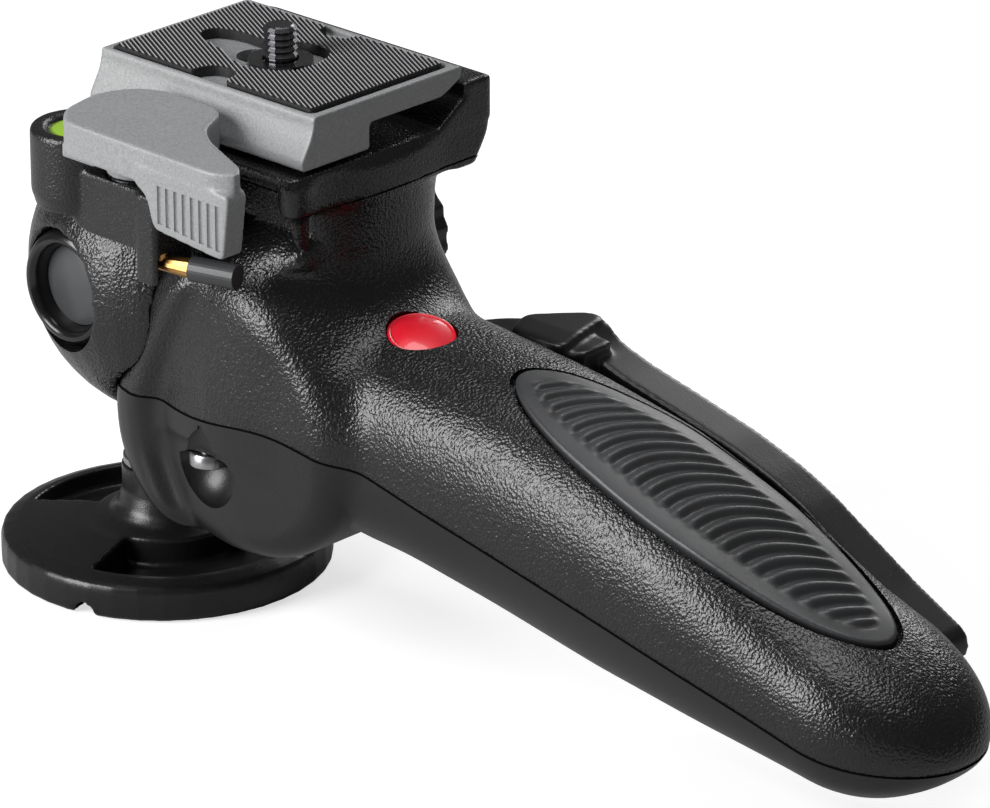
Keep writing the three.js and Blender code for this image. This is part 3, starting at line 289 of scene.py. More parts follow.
DECK_X, DECK_Y, DECK_Z, DECK_HALF_X, DECK_HALF_Y, DECK_HALF_Z = 29.7, 1.3, 90.7, 28.1, 24.6, 3.7
DECK_FRONT_ROUND, DECK_BACK_ROUND, DECK_EXTRA_DEPTH, DECK_EDGE = 1.8, 5, 0.8, 1
CHAMFER_Y, CHAMFER_Z = 26, 92.2
POST_X, POST_Y, POST_LOW, POST_HEIGHT, POST_RADIUS = 51.4, -16.6, 76, 16, 2.1
POST_LEAN_X, POST_LEAN_Y = 4.2, 4.4
HOLLOW_X, HOLLOW_HALF_X, HOLLOW_Y, HOLLOW_FOOT, HOLLOW_TOP = 41.5, 11.5, -15, 81, 92.2


def barrel_form(x, y, z):
    """The cheeks: a drum on its side with a raised collar along the ball housing."""
    dx, dz = x - BARREL_X, z - BARREL_Z
    radius = BARREL_RADIUS * barrel_share(np.degrees(np.arctan2(dz, dx)))
    inward = (x - collar_line(np.clip(z, COLLAR_LOW, COLLAR_HIGH))) * COLLAR_SLANT_SHARE
    half = BARREL_HALF_WIDTH + collar_rise(np.clip(inward, COLLAR_BEFORE, COLLAR_AFTER))
    far = np.where(y > 0, 1, 0) * np.clip((z - FAR_LOW) / FAR_RISE, 0, 1)
    return round_corner(np.hypot(dx, dz) - radius, np.abs(y) - half + FAR_CUT_BACK * far,
                        BARREL_ROUND + FAR_EXTRA_ROUND * far)


def grip_form(x, y, z):
    """The grip: an oval that drops, narrows and closes along its length."""
    share = np.clip((x - GRIP_START) / GRIP_LENGTH, 0, 1)
    across = np.abs(y) / (GRIP_HALF * grip_width(share))
    rise = z - GRIP_TOP + grip_drop(share) * GRIP_DROP
    fade = np.clip((0.85 - share) / 0.35, 0, 1) * np.clip(share / 0.12, 0, 1)
    belly = 1 + BELLY_SHARE * fade * (rise < 0)
    up = np.abs(rise) / (GRIP_HALF * grip_height(share) * belly)
    ring = (across ** GRIP_POWER + up ** GRIP_POWER) ** (1 / GRIP_POWER)
    tuck = 1 + END_TUCK_SHARE * np.clip(-rise / END_TUCK_DEPTH, 0, 1)
    end = np.maximum(x - GRIP_END_X, 0) / GRIP_END_LENGTH * tuck
    size = GRIP_HALF * np.minimum(grip_width(share), grip_height(share))
    return np.maximum((np.hypot(ring, end) - 1) * size, GRIP_ROOT_X - x)


def neck_form(x, y, z):
    """The neck: an oval column that swells at its foot and under the deck."""
    share = np.clip((z - NECK_LOW) / NECK_RISE, 0, 1)
    length = NECK_HALF_LENGTH * neck_length(share)
    width = NECK_HALF_WIDTH * neck_width(share)
    sides = (np.abs(x - NECK_X) / length) ** NECK_POWER + (np.abs(y) / width) ** NECK_POWER
    ring = sides ** (1 / NECK_POWER)
    return np.maximum((ring - 1) * np.minimum(length, width), np.maximum(NECK_FOOT - z, z - NECK_TOP))


def deck_form(x, y, z):
    """The platform's slab, cut back along its far lower edge."""
    corner = np.where(x > DECK_X, DECK_FRONT_ROUND, DECK_BACK_ROUND)
    plan = round_corner(np.abs(x - DECK_X) - DECK_HALF_X, np.abs(y - DECK_Y) - DECK_HALF_Y, corner)
    deeper = DECK_EXTRA_DEPTH * np.clip((y - 6) / 12, 0, 1)
    slab_shape = round_corner(plan, np.abs(z - DECK_Z + deeper) - DECK_HALF_Z - deeper, DECK_EDGE)
    return round_cut(slab_shape, (CHAMFER_Y - y) * 0.85 + (z - CHAMFER_Z) * 0.53, DECK_EDGE)


def post_form(x, y, z):
    """The near front edge of the neck, which runs up to the platform's corner."""
    share = np.clip((z - POST_LOW) / POST_HEIGHT, 0, 1)
    round_post = np.hypot(x - POST_X - POST_LEAN_X * share, y - POST_Y + POST_LEAN_Y * share) - POST_RADIUS
    return np.maximum(round_post, np.abs(z - POST_LOW - POST_HEIGHT / 2) - POST_HEIGHT / 2)


def hollow_form(x, y, z):
    """The hollow under the platform's near lip, whose floor slopes down and outwards."""
    floor = (y - HOLLOW_Y) * 0.669 - (z - HOLLOW_FOOT) * 0.743
    sides = np.maximum(np.abs(x - HOLLOW_X) - HOLLOW_HALF_X, z - HOLLOW_TOP)
    return np.maximum(np.maximum(floor, y - HOLLOW_Y), sides)


def body_form(x, y, z):
    """Cheeks, grip and neck, whose joins are sharp below and soft above."""
    softer = np.clip((z - 34) / 14, 0, 1)
    body = round_join(barrel_form(x, y, z), grip_form(x, y, z), 0.8 + 6.2 * softer)
    return round_join(body, neck_form(x, y, z), 8)


def casting_form(x, y, z):
    """The whole casting from the grip's end to the deck."""
    upright = round_join(body_form(x, y, z), post_form(x, y, z), 3)
    return round_cut(round_join(upright, deck_form(x, y, z), 2.6), hollow_form(x, y, z), 2.5)


OUTSIDE, SLOPE_STEP, SLOPE_LEAST, PULLS = 0.01, 0.02, 0.2, 3


def skin_of(name, form, low, high, step):
    """Lays an even skin of quads over a form and draws it onto the true surface."""
    axes = [np.arange(a, b + step, step) for a, b in zip(low, high)]
    grid = np.meshgrid(*axes, indexing="ij")
    depth = form(*grid)
    for side in (0, -1):
        depth[side] = np.maximum(depth[side], OUTSIDE)
        depth[:, side] = np.maximum(depth[:, side], OUTSIDE)
        depth[:, :, side] = np.maximum(depth[:, :, side], OUTSIDE)
    inside = depth < 0
    shape = np.array(depth.shape) - 1
    total = np.zeros(tuple(shape) + (3,))
    hits = np.zeros(tuple(shape))
    quads = []
    for axis in range(3):
        a, b = [slice(None)] * 3, [slice(None)] * 3
        a[axis], b[axis] = slice(0, -1), slice(1, None)
        crossing = inside[tuple(a)] != inside[tuple(b)]
        i, j, k = np.nonzero(crossing)
        first = depth[tuple(a)][i, j, k]
        second = depth[tuple(b)][i, j, k]
        place = np.stack([i, j, k], 1).astype(float)
        place[:, axis] += first / (first - second)
        outward = inside[tuple(a)][i, j, k]
        u, v = [(1, 2), (2, 0), (0, 1)][axis]
        corners = []
        for du, dv in ((-1, -1), (0, -1), (0, 0), (-1, 0)):
            cell = np.stack([i, j, k], 1)
            cell[:, u] += du
            cell[:, v] += dv
            corners.append(cell)
        good = np.ones(len(i), bool)
        for cell in corners:
            good &= ((cell >= 0) & (cell < shape)).all(1)
        for cell in corners:
            ok = ((cell >= 0) & (cell < shape)).all(1)
            flat = np.ravel_multi_index(cell[ok].T, tuple(shape))
            np.add.at(hits.reshape(-1), flat, 1)
            np.add.at(total.reshape(-1, 3), flat, place[ok])
        flat = [np.ravel_multi_index(cell[good].T, tuple(shape)) for cell in corners]
        quad = np.stack(flat, 1)
        turn = ~outward[good]
        quad[turn] = quad[turn][:, ::-1]
        quads.append(quad)
    hits, total = hits.reshape(-1), total.reshape(-1, 3)
    used = np.nonzero(hits)[0]
    number = np.full(hits.shape, -1)
    number[used] = np.arange(len(used))
    points = total[used] / hits[used][:, None] * step + np.array(low, float)
    faces = number[np.concatenate(quads)]
    for _ in range(PULLS):
        here = form(*points.T)
        slope = np.stack([(form(*(points + shift).T) - here) / SLOPE_STEP
                          for shift in np.eye(3) * SLOPE_STEP], 1)
        size = np.maximum((slope ** 2).sum(1), SLOPE_LEAST)
        move = -slope * (here / size)[:, None]
        far = np.linalg.norm(move, axis=1)
        points += move * np.minimum(1, step * 0.5 / np.maximum(far, 1e-9))[:, None]
    mesh = bpy.data.meshes.new(name)
    mesh.from_pydata((points * MM).tolist(), [], faces.tolist())
    mesh.validate()
    obj = bpy.data.objects.new(name, mesh)
    bpy.context.collection.objects.link(obj)
    return obj


# Material benches


class Flow:
    """A value inside a material, on which sums can be written."""

    def __init__(self, paint, socket):
        self.paint, self.socket = paint, socket

    def _sum(self, operation, *others):
        return self.paint.node("ShaderNodeMath", {"operation": operation},
                               dict(enumerate((self,) + others)))[0]

    def __add__(self, other):
        return self._sum("ADD", other)

    def __sub__(self, other):
        return self._sum("SUBTRACT", other)

    def __rsub__(self, other):
        return self.paint.number(other)._sum("SUBTRACT", self)

    def __mul__(self, other):
        return self._sum("MULTIPLY", other)

    def __pow__(self, other):
        return self._sum("POWER", other)

    __radd__, __rmul__ = __add__, __mul__

    def size(self):
        """The value without its sign."""
        return self._sum("ABSOLUTE")

    def between(self, low, high):
        """Nothing up to low and everything from high on."""
        return self.paint.node("ShaderNodeMapRange", {"interpolation_type": "SMOOTHSTEP"},
                               {"Value": self, "From Min": low, "From Max": high})["Result"]


class Outputs:
    """A node's outputs, each as a value."""

    def __init__(self, paint, node):
        self.paint, self.made = paint, node

    def __getitem__(self, key):
        return Flow(self.paint, self.made.outputs[key])


class Paint:
    """One material and its nodes."""

    def __init__(self, name):
        self.material = bpy.data.materials.new(name)
        self.material.use_nodes = True
        self.tree = self.material.node_tree
        self.shader = self.tree.nodes["Principled BSDF"]
        self.place = self.node("ShaderNodeTexCoord", {}, {})["Object"]

    def node(self, kind, settings, values):
        """Adds one node with its settings, its constants and its links."""
        made = self.tree.nodes.new(kind)
        for key, value in settings.items():
            setattr(made, key, value)
        for key, value in values.items():
            socket = made.inputs[key]
            if isinstance(value, Flow):
                self.tree.links.new(value.socket, socket)
            else:
                socket.default_value = value
        return Outputs(self, made)

    def number(self, value):
        """A constant that sums can start from."""
        made = self.node("ShaderNodeValue", {}, {})
        made.made.outputs[0].default_value = value
        return made[0]

    def noise(self, size, detail=2.0, roughness=0.5):
        """Noise whose cells are about this many millimetres across."""
        return self.node("ShaderNodeTexNoise", {}, {
            "Vector": self.place, "Scale": 1 / (size * MM), "Detail": detail, "Roughness": roughness})["Fac"]

    def cells(self, size):
        """Rounded grains about this many millimetres across."""
        return self.node("ShaderNodeTexVoronoi", {}, {
            "Vector": self.place, "Scale": 1 / (size * MM)})["Distance"]

    def axes(self):
        """Places along the three axes, in metres."""
        parts = self.node("ShaderNodeSeparateXYZ", {}, {0: self.place})
        return parts["X"], parts["Y"], parts["Z"]

    def blend(self, mask, first, second):
        """A colour between two, by a mask."""
        first, second = [c if isinstance(c, Flow) else (*c, 1) for c in (first, second)]
        made = self.node("ShaderNodeMix", {"data_type": "RGBA"}, {0: mask, 6: first, 7: second})
        return Flow(self, made.made.outputs[2])

    def relief(self, height, depth):
        """A bump of this depth in millimetres."""
        return self.node("ShaderNodeBump", {}, {
            "Height": height, "Distance": depth * MM, "Strength": 1.0})["Normal"]

    def shades(self, mask, tone, darker, lighter):
        """A tone that varies between two shares of itself."""
        return self.blend(mask, tuple(c * darker for c in tone), tuple(min(c * lighter, 1) for c in tone))

    def finish(self, **values):
        """Sets the shader's sockets and gives the material."""
        names = {"colour": "Base Color", "roughness": "Roughness", "metal": "Metallic", "normal": "Normal",
                 "coat": "Coat Weight", "shine": "Specular IOR Level"}
        for key, value in values.items():
            socket = self.shader.inputs[names[key]]
            if isinstance(value, Flow):
                self.tree.links.new(value.socket, socket)
            else:
                socket.default_value = (*value, 1) if isinstance(value, tuple) else value
        return self.material


def textured_casting(name, tone, cell, depth, gloss, shine=0.45):
    """Black stove paint whose grain breaks into small leather-like cells."""
    p = Paint(name)
    coarse = p.noise(cell, 1.5, 0.6)
    grain = p.cells(cell * 0.9)
    cloud = p.noise(14, 3)
    height = coarse * 0.9 + grain * 0.5
    worn = coarse.between(0.35, 0.75)
    colour = p.shades(worn * 0.6 + cloud * 0.3, tone, 0.75, 1.35)
    return p.finish(colour=colour, roughness=gloss + (coarse - 0.5) * 0.14 + (cloud - 0.5) * 0.06,
                    normal=p.relief(height, depth), shine=shine)


def grey_casting(name, tone, cell, depth, gloss):
    """Grey hammer-fine paint on the lever and plate."""
    p = Paint(name)
    grain = p.noise(cell, 2, 0.65)
    specks = p.cells(cell * 1.5).between(0.0, 0.6)
    cloud = p.noise(9, 3)
    colour = p.shades(grain.between(0.3, 0.75) * 0.7 + cloud * 0.3, tone, 0.8, 1.2)
    return p.finish(colour=colour, roughness=gloss + (grain - 0.5) * 0.2,
                    normal=p.relief(grain + specks * 0.3, depth))


CREST_LOW, CREST_HIGH = 105.11, 105.21


def ribbed_rubber(name):
    """Black rubber whose rib crests carry a painted highlight, a pale colour on their tops."""
    p = Paint(name)
    height = p.axes()[2]
    # painted highlight: the rib tops are coloured pale where light would glint on them
    painted_crest_highlight = height.between(CREST_LOW * MM, CREST_HIGH * MM) * (0.75 + p.noise(0.5, 2) * 0.5)
    grain = p.noise(0.3, 2)
    return p.finish(colour=p.blend(painted_crest_highlight, (0.012, 0.012, 0.0125), (0.3, 0.3, 0.31)),
                    roughness=0.5 + (grain - 0.5) * 0.1, normal=p.relief(grain, 0.03))


def rubber(name, tone, cell, depth, gloss):
    """Rubber or moulded plastic in one tone with a fine grain."""
    p = Paint(name)
    grain = p.noise(cell, 2, 0.6)
    cloud = p.noise(11, 2)
    colour = p.shades(cloud.between(0.3, 0.7), tone, 0.85, 1.15)
    return p.finish(colour=colour, roughness=gloss + (grain - 0.5) * 0.14, normal=p.relief(grain, depth))


def metal(name, tone, gloss):
    """Bare or plated metal with a faint grain."""
    p = Paint(name)
    grain = p.noise(0.5, 2)
    cloud = p.noise(4, 2)
    colour = p.shades(cloud.between(0.3, 0.7), tone, 0.86, 1.1)
    return p.finish(colour=colour, metal=1.0, roughness=gloss + (grain - 0.5) * 0.12,
                    normal=p.relief(grain, 0.01))


def enamel(name, tone):
    """Glossy enamel under a clear coat."""
    p = Paint(name)
    cloud = p.noise(3, 2)
    colour = p.shades(cloud.between(0.2, 0.8), tone, 0.9, 1)
    return p.finish(colour=colour, roughness=0.3 + (cloud - 0.5) * 0.06, coat=0.6,
                    normal=p.relief(p.noise(0.4, 1), 0.004))


LEVEL_MIDDLE, BUBBLE_MIDDLE, LEVEL_RING_RADIUS = (11, -29), (12.2, -28.2), 2.7


def level_fluid(name):
    """Yellow-green fluid with its bubble, a thin dark ring, and painted shade that darkens it towards the
    cup's wall.
    """
    p = Paint(name)
    x, y, _ = p.axes()

    def from_point(point):
        return ((x - point[0] * MM) ** 2 + (y - point[1] * MM) ** 2) ** 0.5

    far = from_point(LEVEL_MIDDLE)
    ring = (far - LEVEL_RING_RADIUS * MM).size().between(0.16 * MM, 0.32 * MM)
    # painted shade: the fluid turns darker in a band next to the cup's wall
    rim = far.between(4.6 * MM, 5.7 * MM)
    bubble = from_point(BUBBLE_MIDDLE).between(1.4 * MM, 1.9 * MM)
    fluid = p.blend(bubble, (0.5, 0.72, 0.12), (0.32, 0.55, 0.03))
    marked = p.blend(ring, (0.02, 0.03, 0.01), fluid)
    return p.finish(colour=p.blend(rim, marked, (0.06, 0.1, 0.01)), roughness=0.12 + p.noise(1, 1) * 0.04,
                    coat=1.0)


BLACK, DARK_GREY = (0.008, 0.008, 0.0084), (0.03, 0.031, 0.033)
CAST = textured_casting("textured_black_casting", BLACK, 0.6, 0.17, 0.26, 0.5)
FINE_CAST = textured_casting("fine_black_casting", BLACK, 0.48, 0.12, 0.28, 0.5)
COVER = textured_casting("smooth_black_cover", BLACK, 0.36, 0.022, 0.33)
FOOT = textured_casting("black_foot_casting", BLACK, 0.36, 0.018, 0.3)
GREY = grey_casting("grey_casting", (0.25, 0.255, 0.26), 0.42, 0.045, 0.4)
PAD = rubber("grey_palm_rubber", DARK_GREY, 0.35, 0.015, 0.42)
PLATE_RUBBER = ribbed_rubber("ribbed_plate_rubber")
CAP = rubber("dark_grey_cap", (0.05, 0.052, 0.055), 0.4, 0.015, 0.36)
RING = rubber("glossy_black_ring", (0.006, 0.006, 0.0062), 0.5, 0.008, 0.2)
SLEEVE = rubber("sleeve_rubber", DARK_GREY, 0.3, 0.015, 0.4)
STEEL = metal("bright_steel", (0.4, 0.4, 0.41), 0.3)
DARK_STEEL = metal("dark_chrome", (0.16, 0.16, 0.17), 0.26)
BRASS = metal("brass", (0.55, 0.3, 0.1), 0.32)
NYLON = rubber("white_nylon", (0.6, 0.59, 0.55), 0.4, 0.01, 0.4)
RED = enamel("red_enamel", (0.95, 0.008, 0.03))
FLUID = level_fluid("level_fluid")


def dress(obj, material, body, slot, *nodes):
    """Paints a finished piece and hangs it on its body in place of its CAD nodes."""
    obj.data.materials.clear()
    obj.data.materials.append(material)
    obj.data.polygons.foreach_set("material_index", [0] * len(obj.data.polygons))
    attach(obj, body)
    if nodes:
        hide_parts(*nodes)
    return obj


# Main castings

BALL_HEIGHT, BALL_ROOM_RADIUS, BORE_RADIUS, ROD_BORE_RADIUS = 56, 19.8, 14.6, 4.4
CASTING_LOW, CASTING_HIGH, CASTING_STEP = (6, -30, 8), (194, 30, 97), 0.8
BAY_OUTLINE = [(74.2, 36.3), (126.5, 14.5), (172.4, 16), (172.4, 29.6), (126.5, 66), (74.2, 66)]
BAY_START_Y, BAY_END_Y = 12.6, 60
ARM_ROOM, MOUTH_ROOM = [(57.4, -11.3, 52.6), (84, 60, 59.4)], [(57.4, 12.6, 50.7), (81.4, 60, 60.9)]
SEAM_START, SEAM_LENGTH, SEAM_HEIGHT, SEAM_DEPTH = 16, 174, 44.6, 24.5
SEAM_HALF_GAP, SEAM_LIP = 0.15, 0.3
DECK_JOINT = 86.85
FAR_LOW_CORNER, FAR_HIGH_CORNER = (-50, -60, -10), (250, 60, 200)


def seam_height(x):
    """The seam's height at a place along the head."""
    return SEAM_HEIGHT - SEAM_DEPTH * float(seam_drop(part_way(x, SEAM_START, SEAM_LENGTH)))


def below_seam(name, raised):
    """Everything below the seam."""
    xs = range(-30, 202, 2)
    line = [(x, seam_height(x) + raised) for x in xs]
    return slab(name, line + [(xs[-1], -20), (xs[0], -20)], -40, 40, "Y")


def trigger_bay(name):
    """The room that the squeezed trigger swings into."""
    return slab(name, BAY_OUTLINE, BAY_START_Y, BAY_END_Y, "Y")


PAD_SLOPE, PAD_TILT = radians(14.4), radians(22)
pad_along = Vector((cos(PAD_SLOPE), 0, -sin(PAD_SLOPE)))
pad_out = (Vector((sin(PAD_SLOPE), 0, cos(PAD_SLOPE))) * cos(PAD_TILT) - Vector((0, sin(PAD_TILT), 0)))
pad_across = pad_out.cross(pad_along)
PAD_X = 128.4
PAD_HALF_LENGTH, PAD_HALF_WIDTH = 42.6, 12.1
PAD_BED_GAP, PAD_BED_DEPTH, PAD_THICKNESS, PAD_SINK, PAD_EDGE_ROUND = 1.1, 1.5, 1.6, 0.45, 0.55
RIB_PITCH, RIB_SLANT, RIB_CURVE, RIB_HEIGHT, RIB_MARGIN, RIB_FADE = 3.35, 0.45, 0.03, 0.9, 3.2, 1.8
pad_middle = Vector((PAD_X, 4.6, 46.0 - GRIP_DROP * ((PAD_X - GRIP_START) / GRIP_LENGTH) ** 1.6))


def pad_places(x, y, z):
    """Places along, across and out of the pad."""
    dx, dy, dz = x - pad_middle.x, y - pad_middle.y, z - pad_middle.z
    return [dx * axis.x + dy * axis.y + dz * axis.z for axis in (pad_along, pad_across, pad_out)]


def pad_edge(x, y, z, grow):
    """Distance outside the pad's oval."""
    along, across, out = pad_places(x, y, z)
    length, width = PAD_HALF_LENGTH + grow, PAD_HALF_WIDTH + grow
    ring = np.sqrt((along / length) ** 2 + (across / width) ** 2)
    slope = np.sqrt((along / length ** 2) ** 2 + (across / width ** 2) ** 2) / np.maximum(ring, 1e-6)
    return np.maximum((ring - 1) / np.maximum(slope, 0.02), 3 - out)


def pad_bed_form(x, y, z):
    """The sunk bed round the pad, as a tool: everything outside the sunk floor inside the oval."""
    return np.maximum(pad_edge(x, y, z, PAD_BED_GAP), -(body_form(x, y, z) + PAD_BED_DEPTH))


def pad_form(x, y, z):
    """The palm pad, whose slanting ribs fade out before its edge."""
    along, across, _ = pad_places(x, y, z)
    edge = pad_edge(x, y, z, -0.1)
    bend = along - RIB_SLANT * across - RIB_CURVE * across ** 2
    wave = 0.5 + 0.5 * np.cos(2 * pi * bend / RIB_PITCH)
    inside = np.clip(-pad_edge(x, y, z, -RIB_MARGIN) / RIB_FADE, 0, 1)
    inside = inside * inside * (3 - 2 * inside)
    height = PAD_SINK + inside * (RIB_HEIGHT * wave ** 0.8 - 0.35)
    body = body_form(x, y, z)
    return np.maximum(round_corner(edge, body - height, PAD_EDGE_ROUND), -(body + PAD_THICKNESS))


def main_castings():
    """The two shells and the deck, cut from one casting along the seam and the deck's joint."""
    casting = skin_of("casting", casting_form, CASTING_LOW, CASTING_HIGH, CASTING_STEP)
    lower = copy_of("lower_cover_skin", casting)
    finish_with(lower, "DISPLACE", strength=SEAM_LIP * MM, mid_level=0.0)
    cut(lower, below_seam("seam_tool", -SEAM_HALF_GAP), "INTERSECT")
    upper = cut(casting, below_seam("seam_tool", SEAM_HALF_GAP))
    upper.name = upper.data.name = "upper_shell_skin"
    deck = copy_of("deck_skin", upper)
    cut(upper, block("above", (*FAR_LOW_CORNER[:2], DECK_JOINT), FAR_HIGH_CORNER))
    cut(deck, block("below", FAR_LOW_CORNER, (*FAR_HIGH_CORNER[:2], DECK_JOINT)))

    cut(upper, skin_of("bed", pad_bed_form, (80, -26, 18), (180, 26, 66), 0.55))
    for shell in (upper, lower):
        cut(shell, trigger_bay("bay"))
        cut(shell, block("arm_room", *ARM_ROOM))
        cut(shell, block("mouth_room", *MOUTH_ROOM))
        cut(shell, bar("rod_bore", ROD_BORE_RADIUS, (0, 0, BALL_HEIGHT), (70, 0, BALL_HEIGHT)))
        cut(shell, bar("bore", BORE_RADIUS, (-30, 0, BALL_HEIGHT), (46.2, 0, BALL_HEIGHT)))
        cut(shell, ball_room("ball_room", BALL_ROOM_RADIUS))
    return upper, lower, deck


def ball_room(name, radius):
    """The round room of the ball."""
    bpy.ops.object.select_all(action="DESELECT")
    bpy.ops.mesh.primitive_uv_sphere_add(segments=96, ring_count=48, radius=radius * MM,
                                         location=(0, 0, BALL_HEIGHT * MM))
    obj = bpy.context.object
    obj.name = obj.data.name = name
    return settle(obj)


upper_shell, lower_cover, deck_skin = main_castings()

# dial pocket and badge seat
BADGE_MIDDLE, BADGE_SLOPE, BADGE_TILT, BADGE_RADIUS, BADGE_GAP = (68.2, -3, 63.4), 14.4, 7, 6.1, 0.25
DIAL_X, DIAL_Y, DIAL_Z, DIAL_ROOM_RADIUS = 31.5, 22.3, 66, 13.6
badge_turn = (Matrix.Translation(Vector(BADGE_MIDDLE) * MM) @ Matrix.Rotation(radians(BADGE_SLOPE), 4, "Y")
              @ Matrix.Rotation(radians(BADGE_TILT), 4, "X"))
for shell in (upper_shell, lower_cover):
    cut(shell, bar("dial_room", DIAL_ROOM_RADIUS, (DIAL_X, DIAL_Y, DIAL_Z), (DIAL_X, 60, DIAL_Z), sides=96))
seat_radius = BADGE_RADIUS + BADGE_GAP
seat = turned("badge_room", [(0, -2.2), (seat_radius, -2.2), (seat_radius, 8), (0, 8)], steps=72)
seat.data.transform(badge_turn)
cut(upper_shell, seat)

# the hollow under the deck's near lip
LIP_START_X, LIP_END_X, LIP_LOW = 39, 53.5, 80.4
lip_plan = rounded(box_outline(LIP_START_X, LIP_END_X, -60, HOLLOW_Y), 2.5)
for shell in (upper_shell, deck_skin):
    cut(shell, slab("lip_tool", lip_plan, LIP_LOW, HOLLOW_TOP))

# cover screws and their drop-shaped hollows
DROP_X, DROP_Y, DROP_LOW, DROP_RISE, DROP_RADIUS, DROP_TAPER = 35.9, 25.4, 36, 7, 8, 7.1
SCREW_X, SCREW_Y, SCREW_GAP = 33.3, 20.9, 0.2
HEAD_LOW, HEAD_HIGH, HEAD_RADIUS, SHANK_RADIUS, SHANK_HIGH = 34.4, 37, 3.55, 1.7, 43


def drop_form(x, y, z):
    """A drop: a wide round foot drawn up to a narrow tip."""
    y = np.abs(y)
    share = np.clip((z - DROP_LOW) / DROP_RISE, 0, 1)
    shallow = 1.25 + 1.4 * np.clip(8 * share, 0, 1)
    return np.sqrt((x - DROP_X) ** 2 + ((y - DROP_Y) * shallow) ** 2
                   + (z - DROP_LOW - DROP_RISE * share) ** 2) - (DROP_RADIUS - DROP_TAPER * share)


def cover_screw(name, side):
    """A screw with a chamfered head and a socket under it."""
    profile = [(0, HEAD_LOW + 1), (1.6, HEAD_LOW + 1), (1.6, HEAD_LOW), (3.2, HEAD_LOW),
               (HEAD_RADIUS, HEAD_LOW + 0.3), (HEAD_RADIUS, HEAD_HIGH - 0.3), (HEAD_RADIUS - 0.25, HEAD_HIGH),
               (SHANK_RADIUS, HEAD_HIGH), (SHANK_RADIUS, SHANK_HIGH), (0, SHANK_HIGH)]
    return turned(name, profile, (SCREW_X, side * SCREW_Y, 0), 64)


for side in (-1, 1):
    low, high = sorted((side * 17.5, side * 34))
    cut(lower_cover, skin_of("drop", drop_form, (26, low, 25), (46, high, 47.5), 0.45))
    at = (SCREW_X, side * SCREW_Y)
    for name, radius, foot, top in (("screw_hole", HEAD_RADIUS, HEAD_LOW - 0.5, HEAD_HIGH + 0.3),
                                    ("shank_hole", SHANK_RADIUS, HEAD_HIGH, SHANK_HIGH + SCREW_GAP)):
        cut(lower_cover, bar(name, radius + SCREW_GAP, (*at, foot), (*at, top)))
cut(lower_cover, bar("end_hole", 3.8, (150, 0, -10), (150, 0, 22.6)))

for shell in (upper_shell, lower_cover):
    smooth(shell, 35)
dress(upper_shell, CAST, "head", "cast_black", "upper_shell")
dress(lower_cover, COVER, "head", "satin_black", "lower_cover")

for node, side in (("cover_screw_near", -1), ("cover_screw_far", 1)):
    screw = cover_screw(f"{node}_skin", side)
    smooth(screw, 40)
    dress(screw, STEEL, "head", "steel", node)

# side caps: a grey floor inside a thick glossy ring
CAP_X, CAP_Y, CAP_Z, CAP_FLOOR_RADIUS = 1.5, 24.4, 60, 7.4
CAP_PROFILE = [(0, -2.1), (7.35, -2.1), (7.5, -2.2), (7.7, -1.2), (7.9, 0.1), (8.25, 0.8), (8.8, 1.2),
               (9.4, 1.2), (10, 0.8), (10.5, 0), (10.8, -1), (10.9, -2.6), (0, -2.6)]
CAP_SIDES = ((-1, "-Y"), (1, "Y"))
for node, (side, axis) in zip(("side_cap_near", "side_cap_far"), CAP_SIDES):
    cap = turned(f"{node}_skin", CAP_PROFILE, (CAP_X, side * CAP_Y, CAP_Z), 96, axis)
    smooth(cap, 35)
    dress(cap, RING, "head", "plastic_grey", node)
    cap.data.materials.append(CAP)
    for face in cap.data.polygons:
        spot = face.center / MM
        if np.hypot(spot.x - CAP_X, spot.z - CAP_Z) < CAP_FLOOR_RADIUS and abs(spot.y) < CAP_Y - 1.4:
            face.material_index = 1

# palm pad
palm_pad = skin_of("palm_pad_skin", pad_form, (84, -24, 22), (178, 22, 68), 0.42)
smooth(palm_pad, 60)
dress(palm_pad, PAD, "head", "rubber_grey", "palm_pad")

# badge
BADGE_PROFILE = [(0, -1.8), (BADGE_RADIUS, -1.8), (BADGE_RADIUS, -0.1), (5.9, 0.12), (5.6, 0.12),
                 (5.45, -0.05), (3.8, 0.35), (1.9, 0.55), (0, 0.6)]
badge = turned("badge_skin", BADGE_PROFILE, steps=96)
badge.data.transform(badge_turn)
smooth(badge, 50)
dress(badge, RED, "head", "red_enamel", "badge")


# Platform


RAILS_LOW, BRACKET_FAR_Y = 93.2, -23.2
CUP_PROFILE = [(0, 80.2), (6, 80.2), (8.2, 81.2), (8.8, 83), (8.8, 94), (8.3, 94.6), (6.6, 94.6), (6, 94.2),
               (6, 87.6), (0, 87.6)]


def platform_casting():
    """The deck with the CAD platform's rails and bracket, and the level's cup, in one skin."""
    rails = from_cad("rails_blank", "platform")
    cut(rails, block("low", FAR_LOW_CORNER, (*FAR_HIGH_CORNER[:2], RAILS_LOW)))
    bracket = from_cad("bracket_blank", "platform")
    cut(bracket, block("near_only", (FAR_LOW_CORNER[0], BRACKET_FAR_Y, FAR_LOW_CORNER[2]), FAR_HIGH_CORNER))
    cup = turned("cup", CUP_PROFILE, (10.8, -29, 0))
    pick(deck_skin, rails, bracket, cup)
    bpy.ops.object.join()
    soften(deck_skin, 0.42, 5)
    return deck_skin


platform = platform_casting()
platform.name = platform.data.name = "platform_skin"
smooth(platform, 60)
dress(platform, FINE_CAST, "head", "cast_black", "platform")


# Ball housing

housing = from_cad("rear_housing_skin", "rear_housing")
soften(housing, 0.5, 6)
for side, axis in CAP_SIDES:
    cut(housing, turned("cap_room", [(0, -3.2), (11.2, -3.2), (11.2, 9), (0, 9)],
                        (CAP_X, side * CAP_Y, CAP_Z), 96, axis))
smooth(housing, 50)
dress(housing, CAST, "head", "cast_black", "rear_housing")


# Base disc

